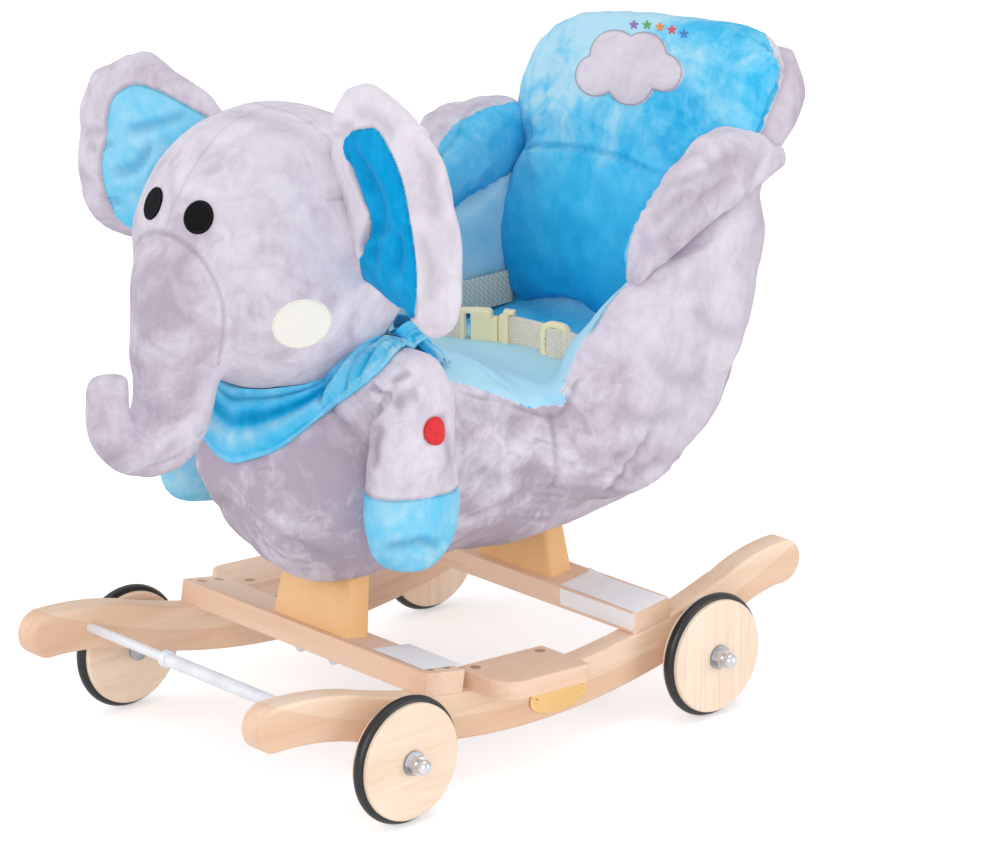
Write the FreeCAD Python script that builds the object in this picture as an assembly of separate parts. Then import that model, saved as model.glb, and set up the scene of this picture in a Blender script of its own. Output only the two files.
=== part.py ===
"""A plush elephant rocker on a wooden frame with four wheels, in millimetres.

Frame: the origin is on the floor under the middle of the toy. The head points to -Y, the elephant's
left side is +X and up is +Z. Every piece is a solid of its own and is written to parts/NODE.step.
"""
import FreeCAD, Part
import math
import os

V = FreeCAD.Vector

X = V(1, 0, 0)
Y = V(0, 1, 0)
Z = V(0, 0, 1)
SIDES = (("left", 1), ("right", -1))

# Fits shared by several pieces
run_gap = 0.3            # between faces that pass each other
bore_gap = 0.06          # radial clearance of a shaft in its hole
overrun = 2.0            # how far a cutting tool passes the face it cuts

# Sections of the stuffed pieces: share of the corner radius, and how far the sides bow
ROUND = (0.75, 0.8)
FULL = (0.5, 0.35)

# Rockers
rocker_front_y = -258.4
rocker_rear_y = 265.2
rocker_thickness = 19.4
rocker_outer_x = 134.0
rocker_depth = 35.0
rocker_bend = 560.0      # radius of the sole
rocker_low_z = 27.0
rocker_middle_y = 12.5
tip_radius = 16.5
tip_rise = 59.0          # centre of the rounded tip above the lowest point of the sole
rocker_edge = 2.5

# Boards across the rockers
board_width = 36.4
board_thickness = 17.3
board_let_in = 0.8       # the boards sit in shallow flats
board_edge = 1.2
front_board_y = -91.4
front_board_tilt = -9.6
rear_board_y = 111.9
rear_board_tilt = 7.0

# Footrests
footrest_reach_x = 166.0
footrest_front_y = -62.5
footrest_length = 82.0
footrest_thickness = 13.0
footrest_front_corner = 18.0
footrest_rear_corner = 5.0
footrest_let_in = 0.5

# Posts that carry the seat
post_foot_width = 82.0
post_foot_depth = 22.0
post_head_width = 70.0
post_head_depth = 18.0
post_corner = 4.0

# Inner plywood
base_board_z = 142.0
base_board_thickness = 10.0
base_board_width = 108.0
base_board_front_y = -104.0
base_board_rear_y = 176.0
back_board_thickness = 10.0
back_board_width = 160.0
back_board_top_z = 436.0
back_board_lean = 11.0
plywood_corner = 20.0

# Screws and bolts
screw_radius = 2.0
screw_head_radius = 4.0
screw_head_height = 2.4
screw_length = 30.0
board_screw_x = 123.5    # distance of the screws from the middle plane
board_screw_pitch = 16.0
footrest_screw_inset = 10.0
plate_screw_length = 15.0
bolt_radius = 3.0
bolt_spread_x = 18.0
cap_nut_flat = 10.0
cap_nut_height = 5.0
cap_dome_radius = 4.2
cap_dome_height = 4.0

# Wheels
wheel_spread_y = 148.0   # from the middle to each axle
wheel_radius = 42.0
wheel_thickness = 16.0
wheel_outer_x = {"left": 165.2, "right": 156.2}    # the right wheels sit closer in, as built
wheel_edge = 1.6
tyre_radius = 46.0       # also the height of the axles
tyre_section = 4.5
stud_radius = 3.95
plate_thickness = 3.0
plate_radius = 8.0
plate_rise = 28.0        # top of the plate above the axle
plate_screw_rises = (12.0, 22.0)
spacer_radius = 7.0
washer_radius = 9.0
washer_thickness = 1.5
axle_nut_flat = 13.0
axle_nut_height = 6.5
axle_dome_radius = 5.6
axle_dome_height = 8.0

# Stretcher between the rockers
rod_y = -206.8
rod_z = 83.8
rod_radius = 3.5
rod_socket_depth = 12.0
sleeve_radius = 5.0
sleeve_start_x = -30.0
collar_radius = 6.2
collar_length = 5.0

# Oval plate under the left footrest
plate_y = 17.5
plate_z = 44.0
plate_half_width = 28.0
plate_half_height = 13.0
oval_plate_thickness = 1.6
pin_spread_y = 22.0
pin_radius = 1.2
pin_head_radius = 2.2
pin_head_height = 1.0
pin_length = 8.0

# Head and trunk
head_y = -124.5
head_z = 374.0
head_half_width = 94.0
head_half_depth = 98.0
head_half_height = 99.0
trunk_root_y = -185.0
trunk_root_z = 366.0
trunk_drop_y = -217.8    # middle of the trunk where it starts to curl
trunk_drop_z = 284.0
trunk_bend = 28.0
trunk_root_radius = 46.0
trunk_tip_length = 25.0

# Ears
ear_root_x = 75.0
ear_root_y = -117.5
ear_width = 118.0
ear_low_z = 352.0
ear_height = 143.0
ear_half_thickness = 13.0
ear_forward = 10.0       # degrees that the ears turn towards the face
ear_slump = 6.0          # the left ear sits this much higher, the right ear lower

# Face patches
patch_thickness = 1.2
eye_x = 22.0
eye_z = 415.0
eye_half_width = 12.0
eye_half_height = 14.0
cheek_x = 80.0
cheek_z = 344.0
cheek_half_width = 21.0
cheek_half_height = 18.5

# Chest
chest_front_y = -164.0
chest_length = 189.5
chest_half_width = 100.0
chest_low_z = 124.0
chest_height = 176.0

# Seat
seat_length = 238.5
seat_half_width = 98.0
seat_low_z = 124.0
seat_height = 98.0
cushion_front_y = -62.0
cushion_length = 256.0
cushion_half_width = 94.0
cushion_low_z = 212.0
cushion_height = 86.0

# Backrest
back_shell_low_z = 168.0
back_shell_height = 292.0
back_shell_half_width = 118.0
back_shell_front_y = 150.0
back_shell_depth = 139.0
back_cushion_y = 201.0
back_cushion_z = 314.0
back_cushion_half_height = 74.0
back_cushion_half_thickness = 24.0
back_cushion_half_width = 102.0
headrest_y = 230.0
headrest_z = 422.0
headrest_half_height = 53.0
headrest_half_thickness = 27.0
headrest_half_width = 116.0
headrest_lean = 27.0
backrest_slump = 0.09    # rise towards the left side per unit of width

# Side walls and wings
wall_front_y = 30.0
wall_length = 220.0
wall_low_z = 167.0
wall_height = 215.0
wall_inner_x = 92.0
wall_thickness = 39.0
wing_front_y = 107.0
wing_length = 142.0
wing_low_z = 318.0
wing_height = 94.0
wing_inner_x = 95.0
wing_thickness = 39.0
wing_shift = 5.0         # the left wing sits this much further back, the right wing forward

# Arms and paws
arm_inner_x = 91.5
arm_outer_x = 135.0
shoulder_y = -100.0
shoulder_z = 262.0
arm_top_z = 301.0
wrist_z = 220.0
paw_low_z = 167.0
arm_half_depth = 36.0
shoulder_radius = 14.0
shoulder_x = 64.0        # where the sewn root of the arm ends inside the chest

# Sound unit in the left arm
button_y = -97.0
button_z = 264.0
button_radius = 8.75
button_thickness = 2.2
button_travel = 3.0
stem_radius = 4.0
stem_length = 9.0
sound_box_radius = 15.0
sound_box_depth = 12.0

# Scarf
scarf_axis_y = -100.0    # upright line inside the neck that the scarf goes round
scarf_rim_z = 290.0
scarf_hem_z = 268.0
scarf_drop = 42.0        # how much lower the point hangs at the front
scarf_thickness = 4.5
scarf_depth = 8.0        # how far the scarf is let into the neck before it is trimmed
tail_x = 52.0
tail_y = -54.0
tail_z = 298.5
tail_length = 58.0
tail_fall = 24.0
tail_half_width = 15.0
tail_half_thickness = 3.0

# Lap belt
web_width = 25.0
web_thickness = 1.6
belt_low_z = 254.0
buckle_x = -16.0         # middle of the socket
buckle_y = 83.5
buckle_turn = 36.0
buckle_length = 30.0
buckle_width = 33.0
buckle_thickness = 11.0
buckle_wall = 2.2
buckle_slot = 6.0
plug_length = 10.0
plug_prong = 16.0
adjuster_x = 46.0
adjuster_y = 100.5
adjuster_length = 22.0
adjuster_width = 32.0
adjuster_bar = 4.0
adjuster_thickness = 3.0
near_anchor_x = 90.0
near_anchor_y = 93.0
far_anchor_x = -90.0
far_anchor_y = 174.0
far_turn_x = -86.0
far_turn_y = 106.0
far_bend_x = -68.0
far_bend_y = 72.0


def clean(shape):
    """The shape as one solid or a group of solids."""
    solids = shape.Solids
    return solids[0] if len(solids) == 1 else Part.makeCompound(solids)


def largest(shape):
    """The largest solid that a cut has left."""
    return max(shape.Solids, key=lambda s: s.Volume)


def oval(middle, a_way, b_way, a, b):
    """A closed oval of four arcs that meet smoothly, with half axes a and b."""
    small, large = min(a, b), max(a, b)
    if large - small < small / 1000:
        corner_large = corner_small = large / math.sqrt(2)
    else:
        end = small * (small / large) ** 0.6
        flat = ((large - end) ** 2 + small**2 - end**2) / (2 * (small - end))
        turn = math.atan2(flat - small, large - end)
        corner_large = large - end + end * math.cos(turn)
        corner_small = end * math.sin(turn)
    ca, cb = (corner_large, corner_small) if a >= b else (corner_small, corner_large)

    def at(i, j):
        return middle + a_way * i + b_way * j

    stops = [((ca, -cb), (a, 0), (ca, cb)), ((ca, cb), (0, b), (-ca, cb)),
             ((-ca, cb), (-a, 0), (-ca, -cb)), ((-ca, -cb), (0, -b), (ca, -cb))]
    return Part.Wire([Part.Arc(at(*p), at(*q), at(*r)).toShape() for p, q, r in stops])


def quarter(a, b, style):
    """One quarter of a soft ring: where its side, corner and top arcs meet, and their middles."""
    corner, bow = style
    small, large = min(a, b), max(a, b)
    r = small * (corner + (1 - corner) * 0.8 * (small / large) ** 4)
    turn = min(2 * bow * math.atan((small - r) / (large - r)), math.radians(30))
    c, s = 1 - math.cos(turn), math.sin(turn)
    det = c**2 - s**2
    side = r + (c * (a - r) - s * (b - r)) / det
    top = r + (c * (b - r) - s * (a - r)) / det
    cx, cy = (top - r) * s, (side - r) * s
    first = (cx + r * math.cos(turn), cy + r * math.sin(turn))
    middle = (cx + r * math.sqrt(0.5), cy + r * math.sqrt(0.5))
    last = (cx + r * math.sin(turn), cy + r * math.cos(turn))
    flank = (a - side + side * math.cos(turn / 2), side * math.sin(turn / 2))
    return flank, first, middle, last


def soft_ring(middle, a_way, b_way, a, up, low, up_style, low_style):
    """A closed ring of arcs that meet smoothly, with an upper and a lower half of their own."""
    flank, first, mid, last = quarter(a, up, up_style)
    low_flank, low_first, low_mid, low_last = quarter(a, low, low_style)

    def at(point, i, j):
        return middle + a_way * (point[0] * i) + b_way * (point[1] * j)

    end = (a, 0)
    stops = [(at(end, 1, 1), at(flank, 1, 1), at(first, 1, 1)),
             (at(first, 1, 1), at(mid, 1, 1), at(last, 1, 1)),
             (at(last, 1, 1), at((0, up), 1, 1), at(last, -1, 1)),
             (at(last, -1, 1), at(mid, -1, 1), at(first, -1, 1)),
             (at(first, -1, 1), at(flank, -1, 1), at(end, -1, 1)),
             (at(end, -1, 1), at(low_flank, -1, -1), at(low_first, -1, -1)),
             (at(low_first, -1, -1), at(low_mid, -1, -1), at(low_last, -1, -1)),
             (at(low_last, -1, -1), at((0, low), 1, -1), at(low_last, 1, -1)),
             (at(low_last, 1, -1), at(low_mid, 1, -1), at(low_first, 1, -1)),
             (at(low_first, 1, -1), at(low_flank, 1, -1), at(end, 1, 1))]
    return Part.Wire([Part.Arc(*stop).toShape() for stop in stops])


def pad_ring(middle, a_way, b_way, a, b, style):
    """A soft ring whose upper and lower halves are alike."""
    return soft_ring(middle, a_way, b_way, a, b, b, style, style)


def skin(rings):
    """A closed solid through a row of rings."""
    return Part.makeLoft(rings, True, False)


def box(x0, x1, y0, y1, z0, z1):
    return Part.makeBox(x1 - x0, y1 - y0, z1 - z0, V(x0, y0, z0))


def rod(radius, start, way, length):
    return Part.makeCylinder(radius, length, start, way)


def mirrored(shape, side):
    """The left-hand shape itself, or its mirror image on the right."""
    return shape if side > 0 else shape.mirror(V(0, 0, 0), X)


def hexagon(flat, start, way, height, up=Z):
    """A hexagonal prism that stands on start and runs along way."""
    across = way.cross(up)
    reach = flat / math.sqrt(3)
    turns = [math.radians(60 * i) for i in range(7)]
    corners = [start + (across * math.cos(t) + up * math.sin(t)) * reach for t in turns]
    return Part.Face(Part.makePolygon(corners)).extrude(way * height)


def cap_nut(flat, height, dome_radius, dome_height, bore, start, way, up=Z):
    """A hexagonal nut with a domed cap, its blind hole filled by the bolt."""
    nut = hexagon(flat, start, way, height, up)
    dome = Part.makeSphere(dome_radius, start + way * (height + dome_height - dome_radius))
    neck = rod(dome_radius, start + way * (height / 2), way, dome_height - dome_radius + height / 2)
    nut = nut.fuse(neck).fuse(dome)
    tool = rod(bore, start - way * overrun, way, height + overrun)
    return clean(nut.removeSplitter().cut(tool))


def screw(head, way, length):
    """A countersunk wood screw whose head's top is at head and whose tip points along way."""
    cone = Part.makeCone(screw_head_radius, screw_radius, screw_head_height, head, way)
    shank = rod(screw_radius, head, way, length)
    return clean(cone.fuse(shank))


def sole_z(y):
    """Height of the rocker's sole at y, along its bend."""
    return rocker_low_z + rocker_bend - math.sqrt(rocker_bend**2 - (y - rocker_middle_y) ** 2)


def deck_z(y):
    """Height of the rocker's upper edge at y."""
    return sole_z(y) + rocker_depth


def rocker():
    """The left rocker: a bent bar whose ends flatten out and finish in round tips."""
    inner_x = rocker_outer_x - rocker_thickness
    tip_z = rocker_low_z + tip_rise
    low, high = tip_z - tip_radius, tip_z + tip_radius

    def joined(reach, low_z, end_z):
        """Join and middle of the arc that leads from the bend to the level end of an edge."""
        top = low_z + rocker_bend
        drop = top - end_z
        bow = (reach**2 + drop**2 - rocker_bend**2) / (2 * (rocker_bend - drop))
        run = reach * rocker_bend / (rocker_bend + bow)
        half = math.asin((reach - run) / bow) / 2
        z = top - math.sqrt(rocker_bend**2 - run**2)
        return (run, z), (reach - bow * math.sin(half), end_z - bow * (1 - math.cos(half)))

    edges, joins = [], {}
    for side, end_y in ((-1, rocker_front_y), (1, rocker_rear_y)):
        reach = abs(end_y - rocker_middle_y) - tip_radius

        def at(point):
            return V(inner_x, rocker_middle_y + side * point[0], point[1])

        ends = []
        for low_z, end_z in ((rocker_low_z, low), (rocker_low_z + rocker_depth, high)):
            join, middle = joined(reach, low_z, end_z)
            edges.append(Part.Arc(at(join), at(middle), at((reach, end_z))))
            ends.append(at(join))
        edges.append(Part.Arc(at((reach, low)), at((reach + tip_radius, tip_z)), at((reach, high))))
        joins[side] = ends
    for i, z in enumerate((rocker_low_z, rocker_low_z + rocker_depth)):
        edges.append(Part.Arc(joins[-1][i], V(inner_x, rocker_middle_y, z), joins[1][i]))
    outline = Part.Wire(Part.__sortEdges__([edge.toShape() for edge in edges]))
    bar = Part.Face(outline).extrude(X * rocker_thickness)
    long_edges = [e for e in bar.Edges if e.BoundBox.XLength < rocker_edge / 100]
    return bar.makeFillet(rocker_edge, long_edges)


def board_frame(y, tilt):
    """Placement of a cross board: its underside's middle, turned by its tilt."""
    z = deck_z(y) - board_let_in
    return FreeCAD.Placement(V(0, y, z), FreeCAD.Rotation(X, tilt))


def cross_board(y, tilt):
    board = box(-rocker_outer_x, rocker_outer_x, -board_width / 2, board_width / 2, 0, board_thickness)
    board = board.makeFillet(board_edge, board.Edges)
    board.Placement = board_frame(y, tilt)
    return board


def footrest_frame():
    """Placement of the footrests: their front lower edge, turned to lie on both ends."""
    rear_y = footrest_front_y + footrest_length
    front_z, rear_z = deck_z(footrest_front_y), deck_z(rear_y)
    tilt = math.degrees(math.atan2(rear_z - front_z, footrest_length))
    return FreeCAD.Placement(V(0, footrest_front_y, front_z - footrest_let_in), FreeCAD.Rotation(X, tilt))


def footrest():
    """The left footrest, a board with one large rounded corner at the front."""
    inner_x = rocker_outer_x - rocker_thickness
    board = box(inner_x, footrest_reach_x, 0, footrest_length, 0, footrest_thickness)

    def corner(y):
        return [e for e in board.Edges
                if e.BoundBox.XLength < overrun / 100 and e.BoundBox.YLength < overrun / 100
                and abs(e.BoundBox.XMin - footrest_reach_x) < overrun / 100
                and abs(e.BoundBox.YMin - y) < overrun / 100]

    board = board.makeFillet(footrest_front_corner, corner(0))
    board = board.makeFillet(footrest_rear_corner, corner(footrest_length))
    top = [e for e in board.Edges if abs(e.BoundBox.ZMin - footrest_thickness) < overrun / 100]
    board = board.makeFillet(board_edge, top)
    board.Placement = footrest_frame()
    return board


def post(y, tilt):
    """A tapered post that stands square on its board and reaches the plywood under the seat."""
    height = (base_board_z + base_board_thickness - deck_z(y)) / math.cos(math.radians(tilt))

    def ring(width, depth, z):
        a, b, r = width / 2, depth / 2, post_corner
        cut = r * (1 - math.sqrt(0.5))
        points = [(a - r, -b), (a, -b + r), (a, b - r), (a - r, b),
                  (-a + r, b), (-a, b - r), (-a, -b + r), (-a + r, -b)]
        mids = [(a - cut, -b + cut), None, (a - cut, b - cut), None,
                (-a + cut, b - cut), None, (-a + cut, -b + cut), None]
        edges = []
        for i, (start, mid) in enumerate(zip(points, mids)):
            end = points[(i + 1) % len(points)]
            p, q = V(*start, z), V(*end, z)
            edges.append(Part.Arc(p, V(*mid, z), q).toShape() if mid else Part.LineSegment(p, q).toShape())
        return Part.Wire(edges)

    body = Part.makeLoft([ring(post_foot_width, post_foot_depth, board_thickness),
                          ring(post_head_width, post_head_depth, height)], True, True)
    body.Placement = board_frame(y, tilt)
    above = box(-post_foot_width, post_foot_width, y - post_foot_width, y + post_foot_width,
                base_board_z, base_board_z + post_foot_width)
    return clean(body.cut(above))


def post_bolts(y, tilt):
    """Two bolts from under the board up through the post, and the cap nuts under the board."""
    frame = board_frame(y, tilt)
    down = frame.Rotation.multVec(-Z)
    bolts, nuts = [], []
    for x in (-bolt_spread_x, bolt_spread_x):
        seat = frame.multVec(V(x, 0, 0))
        top = frame.multVec(V(x, 0, base_board_z - deck_z(y) - cap_nut_height))
        bolts.append(rod(bolt_radius, seat + down * cap_nut_height, -down,
                         (top - seat).Length + cap_nut_height))
        nuts.append(cap_nut(cap_nut_flat, cap_nut_height, cap_dome_radius, cap_dome_height,
                            bolt_radius, seat, down, frame.Rotation.multVec(Y)))
    return bolts, nuts


def plywood():
    """The base board under the seat and the back board that leans away above its rear edge."""
    half = base_board_width / 2
    base = box(-half, half, base_board_front_y, base_board_rear_y,
               base_board_z, base_board_z + base_board_thickness)
    upright = [e for e in base.Edges if e.BoundBox.ZLength > base_board_thickness / 2
               and e.BoundBox.YMin < base_board_front_y + overrun]
    base = base.makeFillet(plywood_corner, upright)
    foot_z = base_board_z
    height = (back_board_top_z - foot_z) / math.cos(math.radians(back_board_lean))
    wide = back_board_width / 2
    back = box(-wide, wide, 0, back_board_thickness, 0, height)
    top = [e for e in back.Edges if e.BoundBox.YLength > back_board_thickness / 2
           and e.BoundBox.ZMin > height / 2]
    back = back.makeFillet(plywood_corner, top)
    notch = (wide - half) + overrun
    for x in (-wide - overrun, half):
        back = back.cut(box(x, x + notch, -overrun, back_board_thickness + overrun, -overrun, notch * 2))
    back.Placement = FreeCAD.Placement(V(0, base_board_rear_y, foot_z),
                                       FreeCAD.Rotation(X, -back_board_lean))
    return base, clean(back.cut(base))


def wheel_set(y, outer_x):
    """A wheel on the left, its face at outer_x, with its tyre and everything that carries it."""
    z = tyre_radius
    inner_x = outer_x - wheel_thickness
    middle_x = outer_x - wheel_thickness / 2
    centre_line = tyre_radius - tyre_section
    disc = rod(wheel_radius, V(inner_x, y, z), X, wheel_thickness)
    rims = [e for e in disc.Edges if e.BoundBox.XLength < overrun / 100]
    disc = disc.makeFillet(wheel_edge, rims)
    ring = Part.makeTorus(centre_line, tyre_section, V(middle_x, y, z), X)
    disc = disc.cut(ring).cut(rod(stud_radius + bore_gap, V(inner_x - overrun, y, z), X,
                                  wheel_thickness + overrun * 2))
    plate_x = rocker_outer_x + plate_thickness
    washer_x = outer_x + run_gap
    nut_x = washer_x + washer_thickness
    flank = box(rocker_outer_x, plate_x, y - plate_radius, y + plate_radius, z, z + plate_rise)
    plate = flank.fuse(rod(plate_radius, V(rocker_outer_x, y, z), X, plate_thickness)).removeSplitter()
    screws = [screw(V(plate_x, y, z + rise), -X, plate_screw_length) for rise in plate_screw_rises]
    for item in screws:
        plate = plate.cut(item)
    stud = rod(stud_radius, V(plate_x, y, z), X, nut_x + axle_nut_height - plate_x)
    spacer = rod(spacer_radius, V(plate_x, y, z), X, inner_x - run_gap - plate_x).cut(stud)
    washer = rod(washer_radius, V(washer_x, y, z), X, washer_thickness).cut(stud)
    nut = cap_nut(axle_nut_flat, axle_nut_height, axle_dome_radius, axle_dome_height,
                  stud_radius, V(nut_x, y, z), X)
    return {"wheel": clean(disc), "tyre": ring, "axle_plates": clean(plate), "axle_plate_screws": screws,
            "axle_studs": stud, "wheel_spacers": clean(spacer), "wheel_washers": clean(washer),
            "wheel_cap_nuts": nut}


def stretcher():
    """The rod across the front tips and the thicker sleeve on its left half."""
    inner_x = rocker_outer_x - rocker_thickness
    reach = inner_x + rod_socket_depth
    bar = rod(rod_radius, V(-reach, rod_y, rod_z), X, reach * 2)
    sleeve = rod(sleeve_radius, V(sleeve_start_x, rod_y, rod_z), X, inner_x - sleeve_start_x)
    collar = rod(collar_radius, V(sleeve_start_x, rod_y, rod_z), X, collar_length)
    return bar, clean(sleeve.fuse(collar).removeSplitter().cut(bar))


def oval_plate():
    """The oval plate on the left rocker's face and its two pins."""
    ring = oval(V(rocker_outer_x, plate_y, plate_z), Y, Z, plate_half_width, plate_half_height)
    plate = Part.Face(ring).extrude(X * oval_plate_thickness)
    front_x = rocker_outer_x + oval_plate_thickness
    pins = []
    for y in (plate_y - pin_spread_y, plate_y + pin_spread_y):
        shank = rod(pin_radius, V(front_x, y, plate_z), -X, pin_length)
        head = Part.makeCone(pin_head_radius, pin_radius, pin_head_height, V(front_x, y, plate_z), X)
        pins.append(clean(shank.fuse(head)))
    return clean(plate.cut(Part.makeCompound(pins))), pins


def head():
    """The head, a ball of ovals a little taller than wide."""
    turns = [math.radians(t) for t in (-78, -56, -30, 0, 30, 56, 78)]
    return skin([oval(V(0, head_y, head_z + head_half_height * math.sin(t)), X, Y,
                      head_half_width * math.cos(t), head_half_depth * math.cos(t)) for t in turns])


def trunk():
    """The trunk leaves the face, hangs down, tapers and curls forwards and up at its end."""
    drop = trunk_root_z - trunk_drop_z
    advance = trunk_root_y - trunk_drop_y
    stations = []
    root_shares = ((-0.2, -0.18, 42, 1.0), (0.35, 0.1, 40, 0.98), (0.62, 0.3, 28, 0.87),
                   (0.84, 0.56, 16, 0.76), (0.96, 0.8, 8, 0.68), (1.0, 1.0, 0, 0.62))
    for ahead, down, turn, size in root_shares:
        lean = math.radians(turn)
        spot = V(0, trunk_root_y - advance * ahead, trunk_root_z - drop * down)
        stations.append((spot, V(0, -math.sin(lean), -math.cos(lean)), size))
    pivot_y = trunk_drop_y - trunk_bend
    bend_sizes = (0.58, 0.53, 0.475, 0.42, 0.37, 0.33)
    for i, size in enumerate(bend_sizes):
        turn = math.radians(30 * (i + 1))
        spot = V(0, pivot_y + trunk_bend * math.cos(turn), trunk_drop_z - trunk_bend * math.sin(turn))
        stations.append((spot, V(0, -math.sin(turn), -math.cos(turn)), size))
    tip_y = pivot_y - trunk_bend
    for rise, size in ((0.6, 0.3), (0.9, 0.24), (1.0, 0.15)):
        stations.append((V(0, tip_y, trunk_drop_z + trunk_tip_length * rise), Z, size))
    return skin([oval(spot, X, X.cross(way), trunk_root_radius * size, trunk_root_radius * size)
                 for spot, way, size in stations])


def ear(side):
    """An ear: a padded leaf that stands out from the head and turns a little towards the face."""
    turn = math.radians(ear_forward)
    out = V(math.cos(turn), -math.sin(turn), 0)
    across = V(math.sin(turn), math.cos(turn), 0)
    leaf_shares = ((-0.115, 0.224, 0.699, 0.8), (0, 0.14, 0.867, 0.95), (0.164, 0.07, 0.979, 1),
                   (0.369, 0.021, 1, 1), (0.574, 0, 0.979, 1), (0.738, 0, 0.909, 0.97),
                   (0.869, 0.056, 0.804, 0.9), (0.959, 0.154, 0.671, 0.7), (1, 0.28, 0.545, 0.4))
    rings = []
    for reach, low, top, thick in leaf_shares:
        middle_z = ear_low_z + ear_slump * side + ear_height * (low + top) / 2
        spot = V(ear_root_x, ear_root_y, middle_z) + out * (ear_width * reach)
        rings.append(oval(spot, Z, across, ear_height * (top - low) / 2, ear_half_thickness * thick))
    return mirrored(skin(rings), side)


def patch(x, z, half_width, half_height, skin_solid):
    """A thin oval patch that lies on the head at x and z, on the left side."""
    share_x, share_z = x / head_half_width, (z - head_z) / head_half_height
    depth = head_half_depth * math.sqrt(1 - share_x**2 - share_z**2)
    spot = V(x, head_y - depth, z)
    normal = V(x / head_half_width**2, -depth / head_half_depth**2, (z - head_z) / head_half_height**2)
    normal.normalize()
    across = Z.cross(normal)
    across.normalize()
    up = normal.cross(across)
    face = Part.Face(oval(spot + normal * half_height, across, up, half_width, half_height))
    tool = face.extrude(normal * (-half_height * 2))
    grow = 1 + patch_thickness / head_half_width
    swell = FreeCAD.Matrix()
    swell.move(V(0, -head_y, -head_z))
    swell.scale(grow, grow, grow)
    swell.move(V(0, head_y, head_z))
    outer = skin_solid.transformGeometry(swell)
    return largest(tool.common(outer).cut(skin_solid))


def long_form(front_y, length, half_width, low_z, height, shares, up_style):
    """A stuffed form along Y: shares of place, half width, underside, widest height and top."""
    rings = []
    for y, width, low, waist, top in shares:
        spot = V(0, front_y + length * y, low_z + height * waist)
        style = tuple(start + (end - start) * y for start, end in zip(ROUND, up_style))
        rings.append(soft_ring(spot, X, Z, half_width * width, height * (top - waist),
                               height * (waist - low), style, ROUND))
    return skin(rings)


def chest():
    """The chest and belly, which reach back under the front of the seat."""
    chest_shares = ((0, 0.09, 0.523, 0.574, 0.625), (0.016, 0.3, 0.409, 0.568, 0.727),
                     (0.061, 0.52, 0.239, 0.557, 0.864), (0.166, 0.74, 0.108, 0.534, 0.955),
                     (0.325, 0.86, 0.023, 0.523, 1), (0.483, 0.9, 0, 0.534, 1.011),
                     (0.694, 0.93, 0, 0.534, 0.955), (0.905, 0.98, 0, 0.511, 0.841),
                     (1, 1, 0, 0.489, 0.784))
    return long_form(chest_front_y, chest_length, chest_half_width, chest_low_z, chest_height,
                     chest_shares, FULL)


def seat_base():
    """The stuffed base under the cushion, which sweeps up towards the back."""
    seat_shares = ((0, 1, 0, 0.694, 1.286), (0.145, 1, 0, 0.673, 1.102), (0.346, 1, 0.02, 0.673, 1.02),
                    (0.514, 1, 0.102, 0.714, 1.02), (0.681, 0.99, 0.286, 0.816, 1.041),
                    (0.824, 0.949, 0.571, 0.939, 1.143), (0.92, 0.857, 0.878, 1.122, 1.306),
                    (0.975, 0.694, 1.163, 1.327, 1.469), (0.996, 0.469, 1.327, 1.429, 1.551))
    return long_form(chest_front_y + chest_length, seat_length, seat_half_width, seat_low_z,
                     seat_height, seat_shares, FULL)


def seat_cushion():
    """The seat cushion, crowned, which climbs the back of the chest at its front."""
    cushion_shares = ((0, 0.787, 0.535, 0.721, 0.907), (0.039, 0.894, 0.465, 0.733, 0.988),
                       (0.148, 0.968, 0.279, 0.605, 0.872), (0.289, 1, 0.116, 0.43, 0.686),
                       (0.406, 1.011, 0.023, 0.279, 0.523), (0.633, 1.011, 0, 0.233, 0.477),
                       (0.867, 1.011, 0, 0.233, 0.465), (0.969, 1, 0.047, 0.233, 0.43),
                       (1, 0.936, 0.116, 0.233, 0.36))
    return long_form(cushion_front_y, cushion_length, cushion_half_width, cushion_low_z,
                     cushion_height, cushion_shares, ROUND)


def lying_pad(y, z, half_width, half_height, half_thickness, lean, slump):
    """A pad across the backrest, thick in the middle, with ends drawn in."""
    tilt = math.radians(lean)
    up = V(0, math.sin(tilt), math.cos(tilt))
    front = V(0, math.cos(tilt), -math.sin(tilt))
    x_shares = (-1, -0.93, -0.75, -0.4, 0, 0.4, 0.75, 0.93, 1)
    height_shares = (0.5, 0.8, 0.97, 0.99, 1, 0.99, 0.97, 0.8, 0.5)
    thickness_shares = (0.5, 0.75, 0.92, 1, 1.04, 1, 0.92, 0.75, 0.5)
    rings = []
    for x, height, thickness in zip(x_shares, height_shares, thickness_shares):
        spot = V(x * half_width, y, z + slump * x * half_width)
        rings.append(oval(spot, up, front, half_height * height, half_thickness * thickness))
    return skin(rings)


def back_shell():
    """The stuffed outer back, from under the seat to the rim behind the headrest."""
    shell_shares = ((0, 0, 0.331, 0.508), (0.107, 0.072, 0.489, 0.72), (0.24, 0.18, 0.647, 0.881),
                    (0.407, 0.288, 0.763, 0.949), (0.573, 0.36, 0.835, 0.992), (0.723, 0.46, 0.878, 1),
                    (0.807, 0.518, 0.935, 0.992), (0.89, 0.576, 0.986, 0.966), (0.96, 0.633, 1, 0.898),
                    (1, 0.669, 0.978, 0.763))
    rings = []
    for z, front, rear, width in shell_shares:
        y0 = back_shell_front_y + back_shell_depth * front
        y1 = back_shell_front_y + back_shell_depth * rear
        rings.append(pad_ring(V(0, (y0 + y1) / 2, back_shell_low_z + back_shell_height * z), X, Y,
                              back_shell_half_width * width, (y1 - y0) / 2, ROUND))
    return skin(rings)


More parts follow.
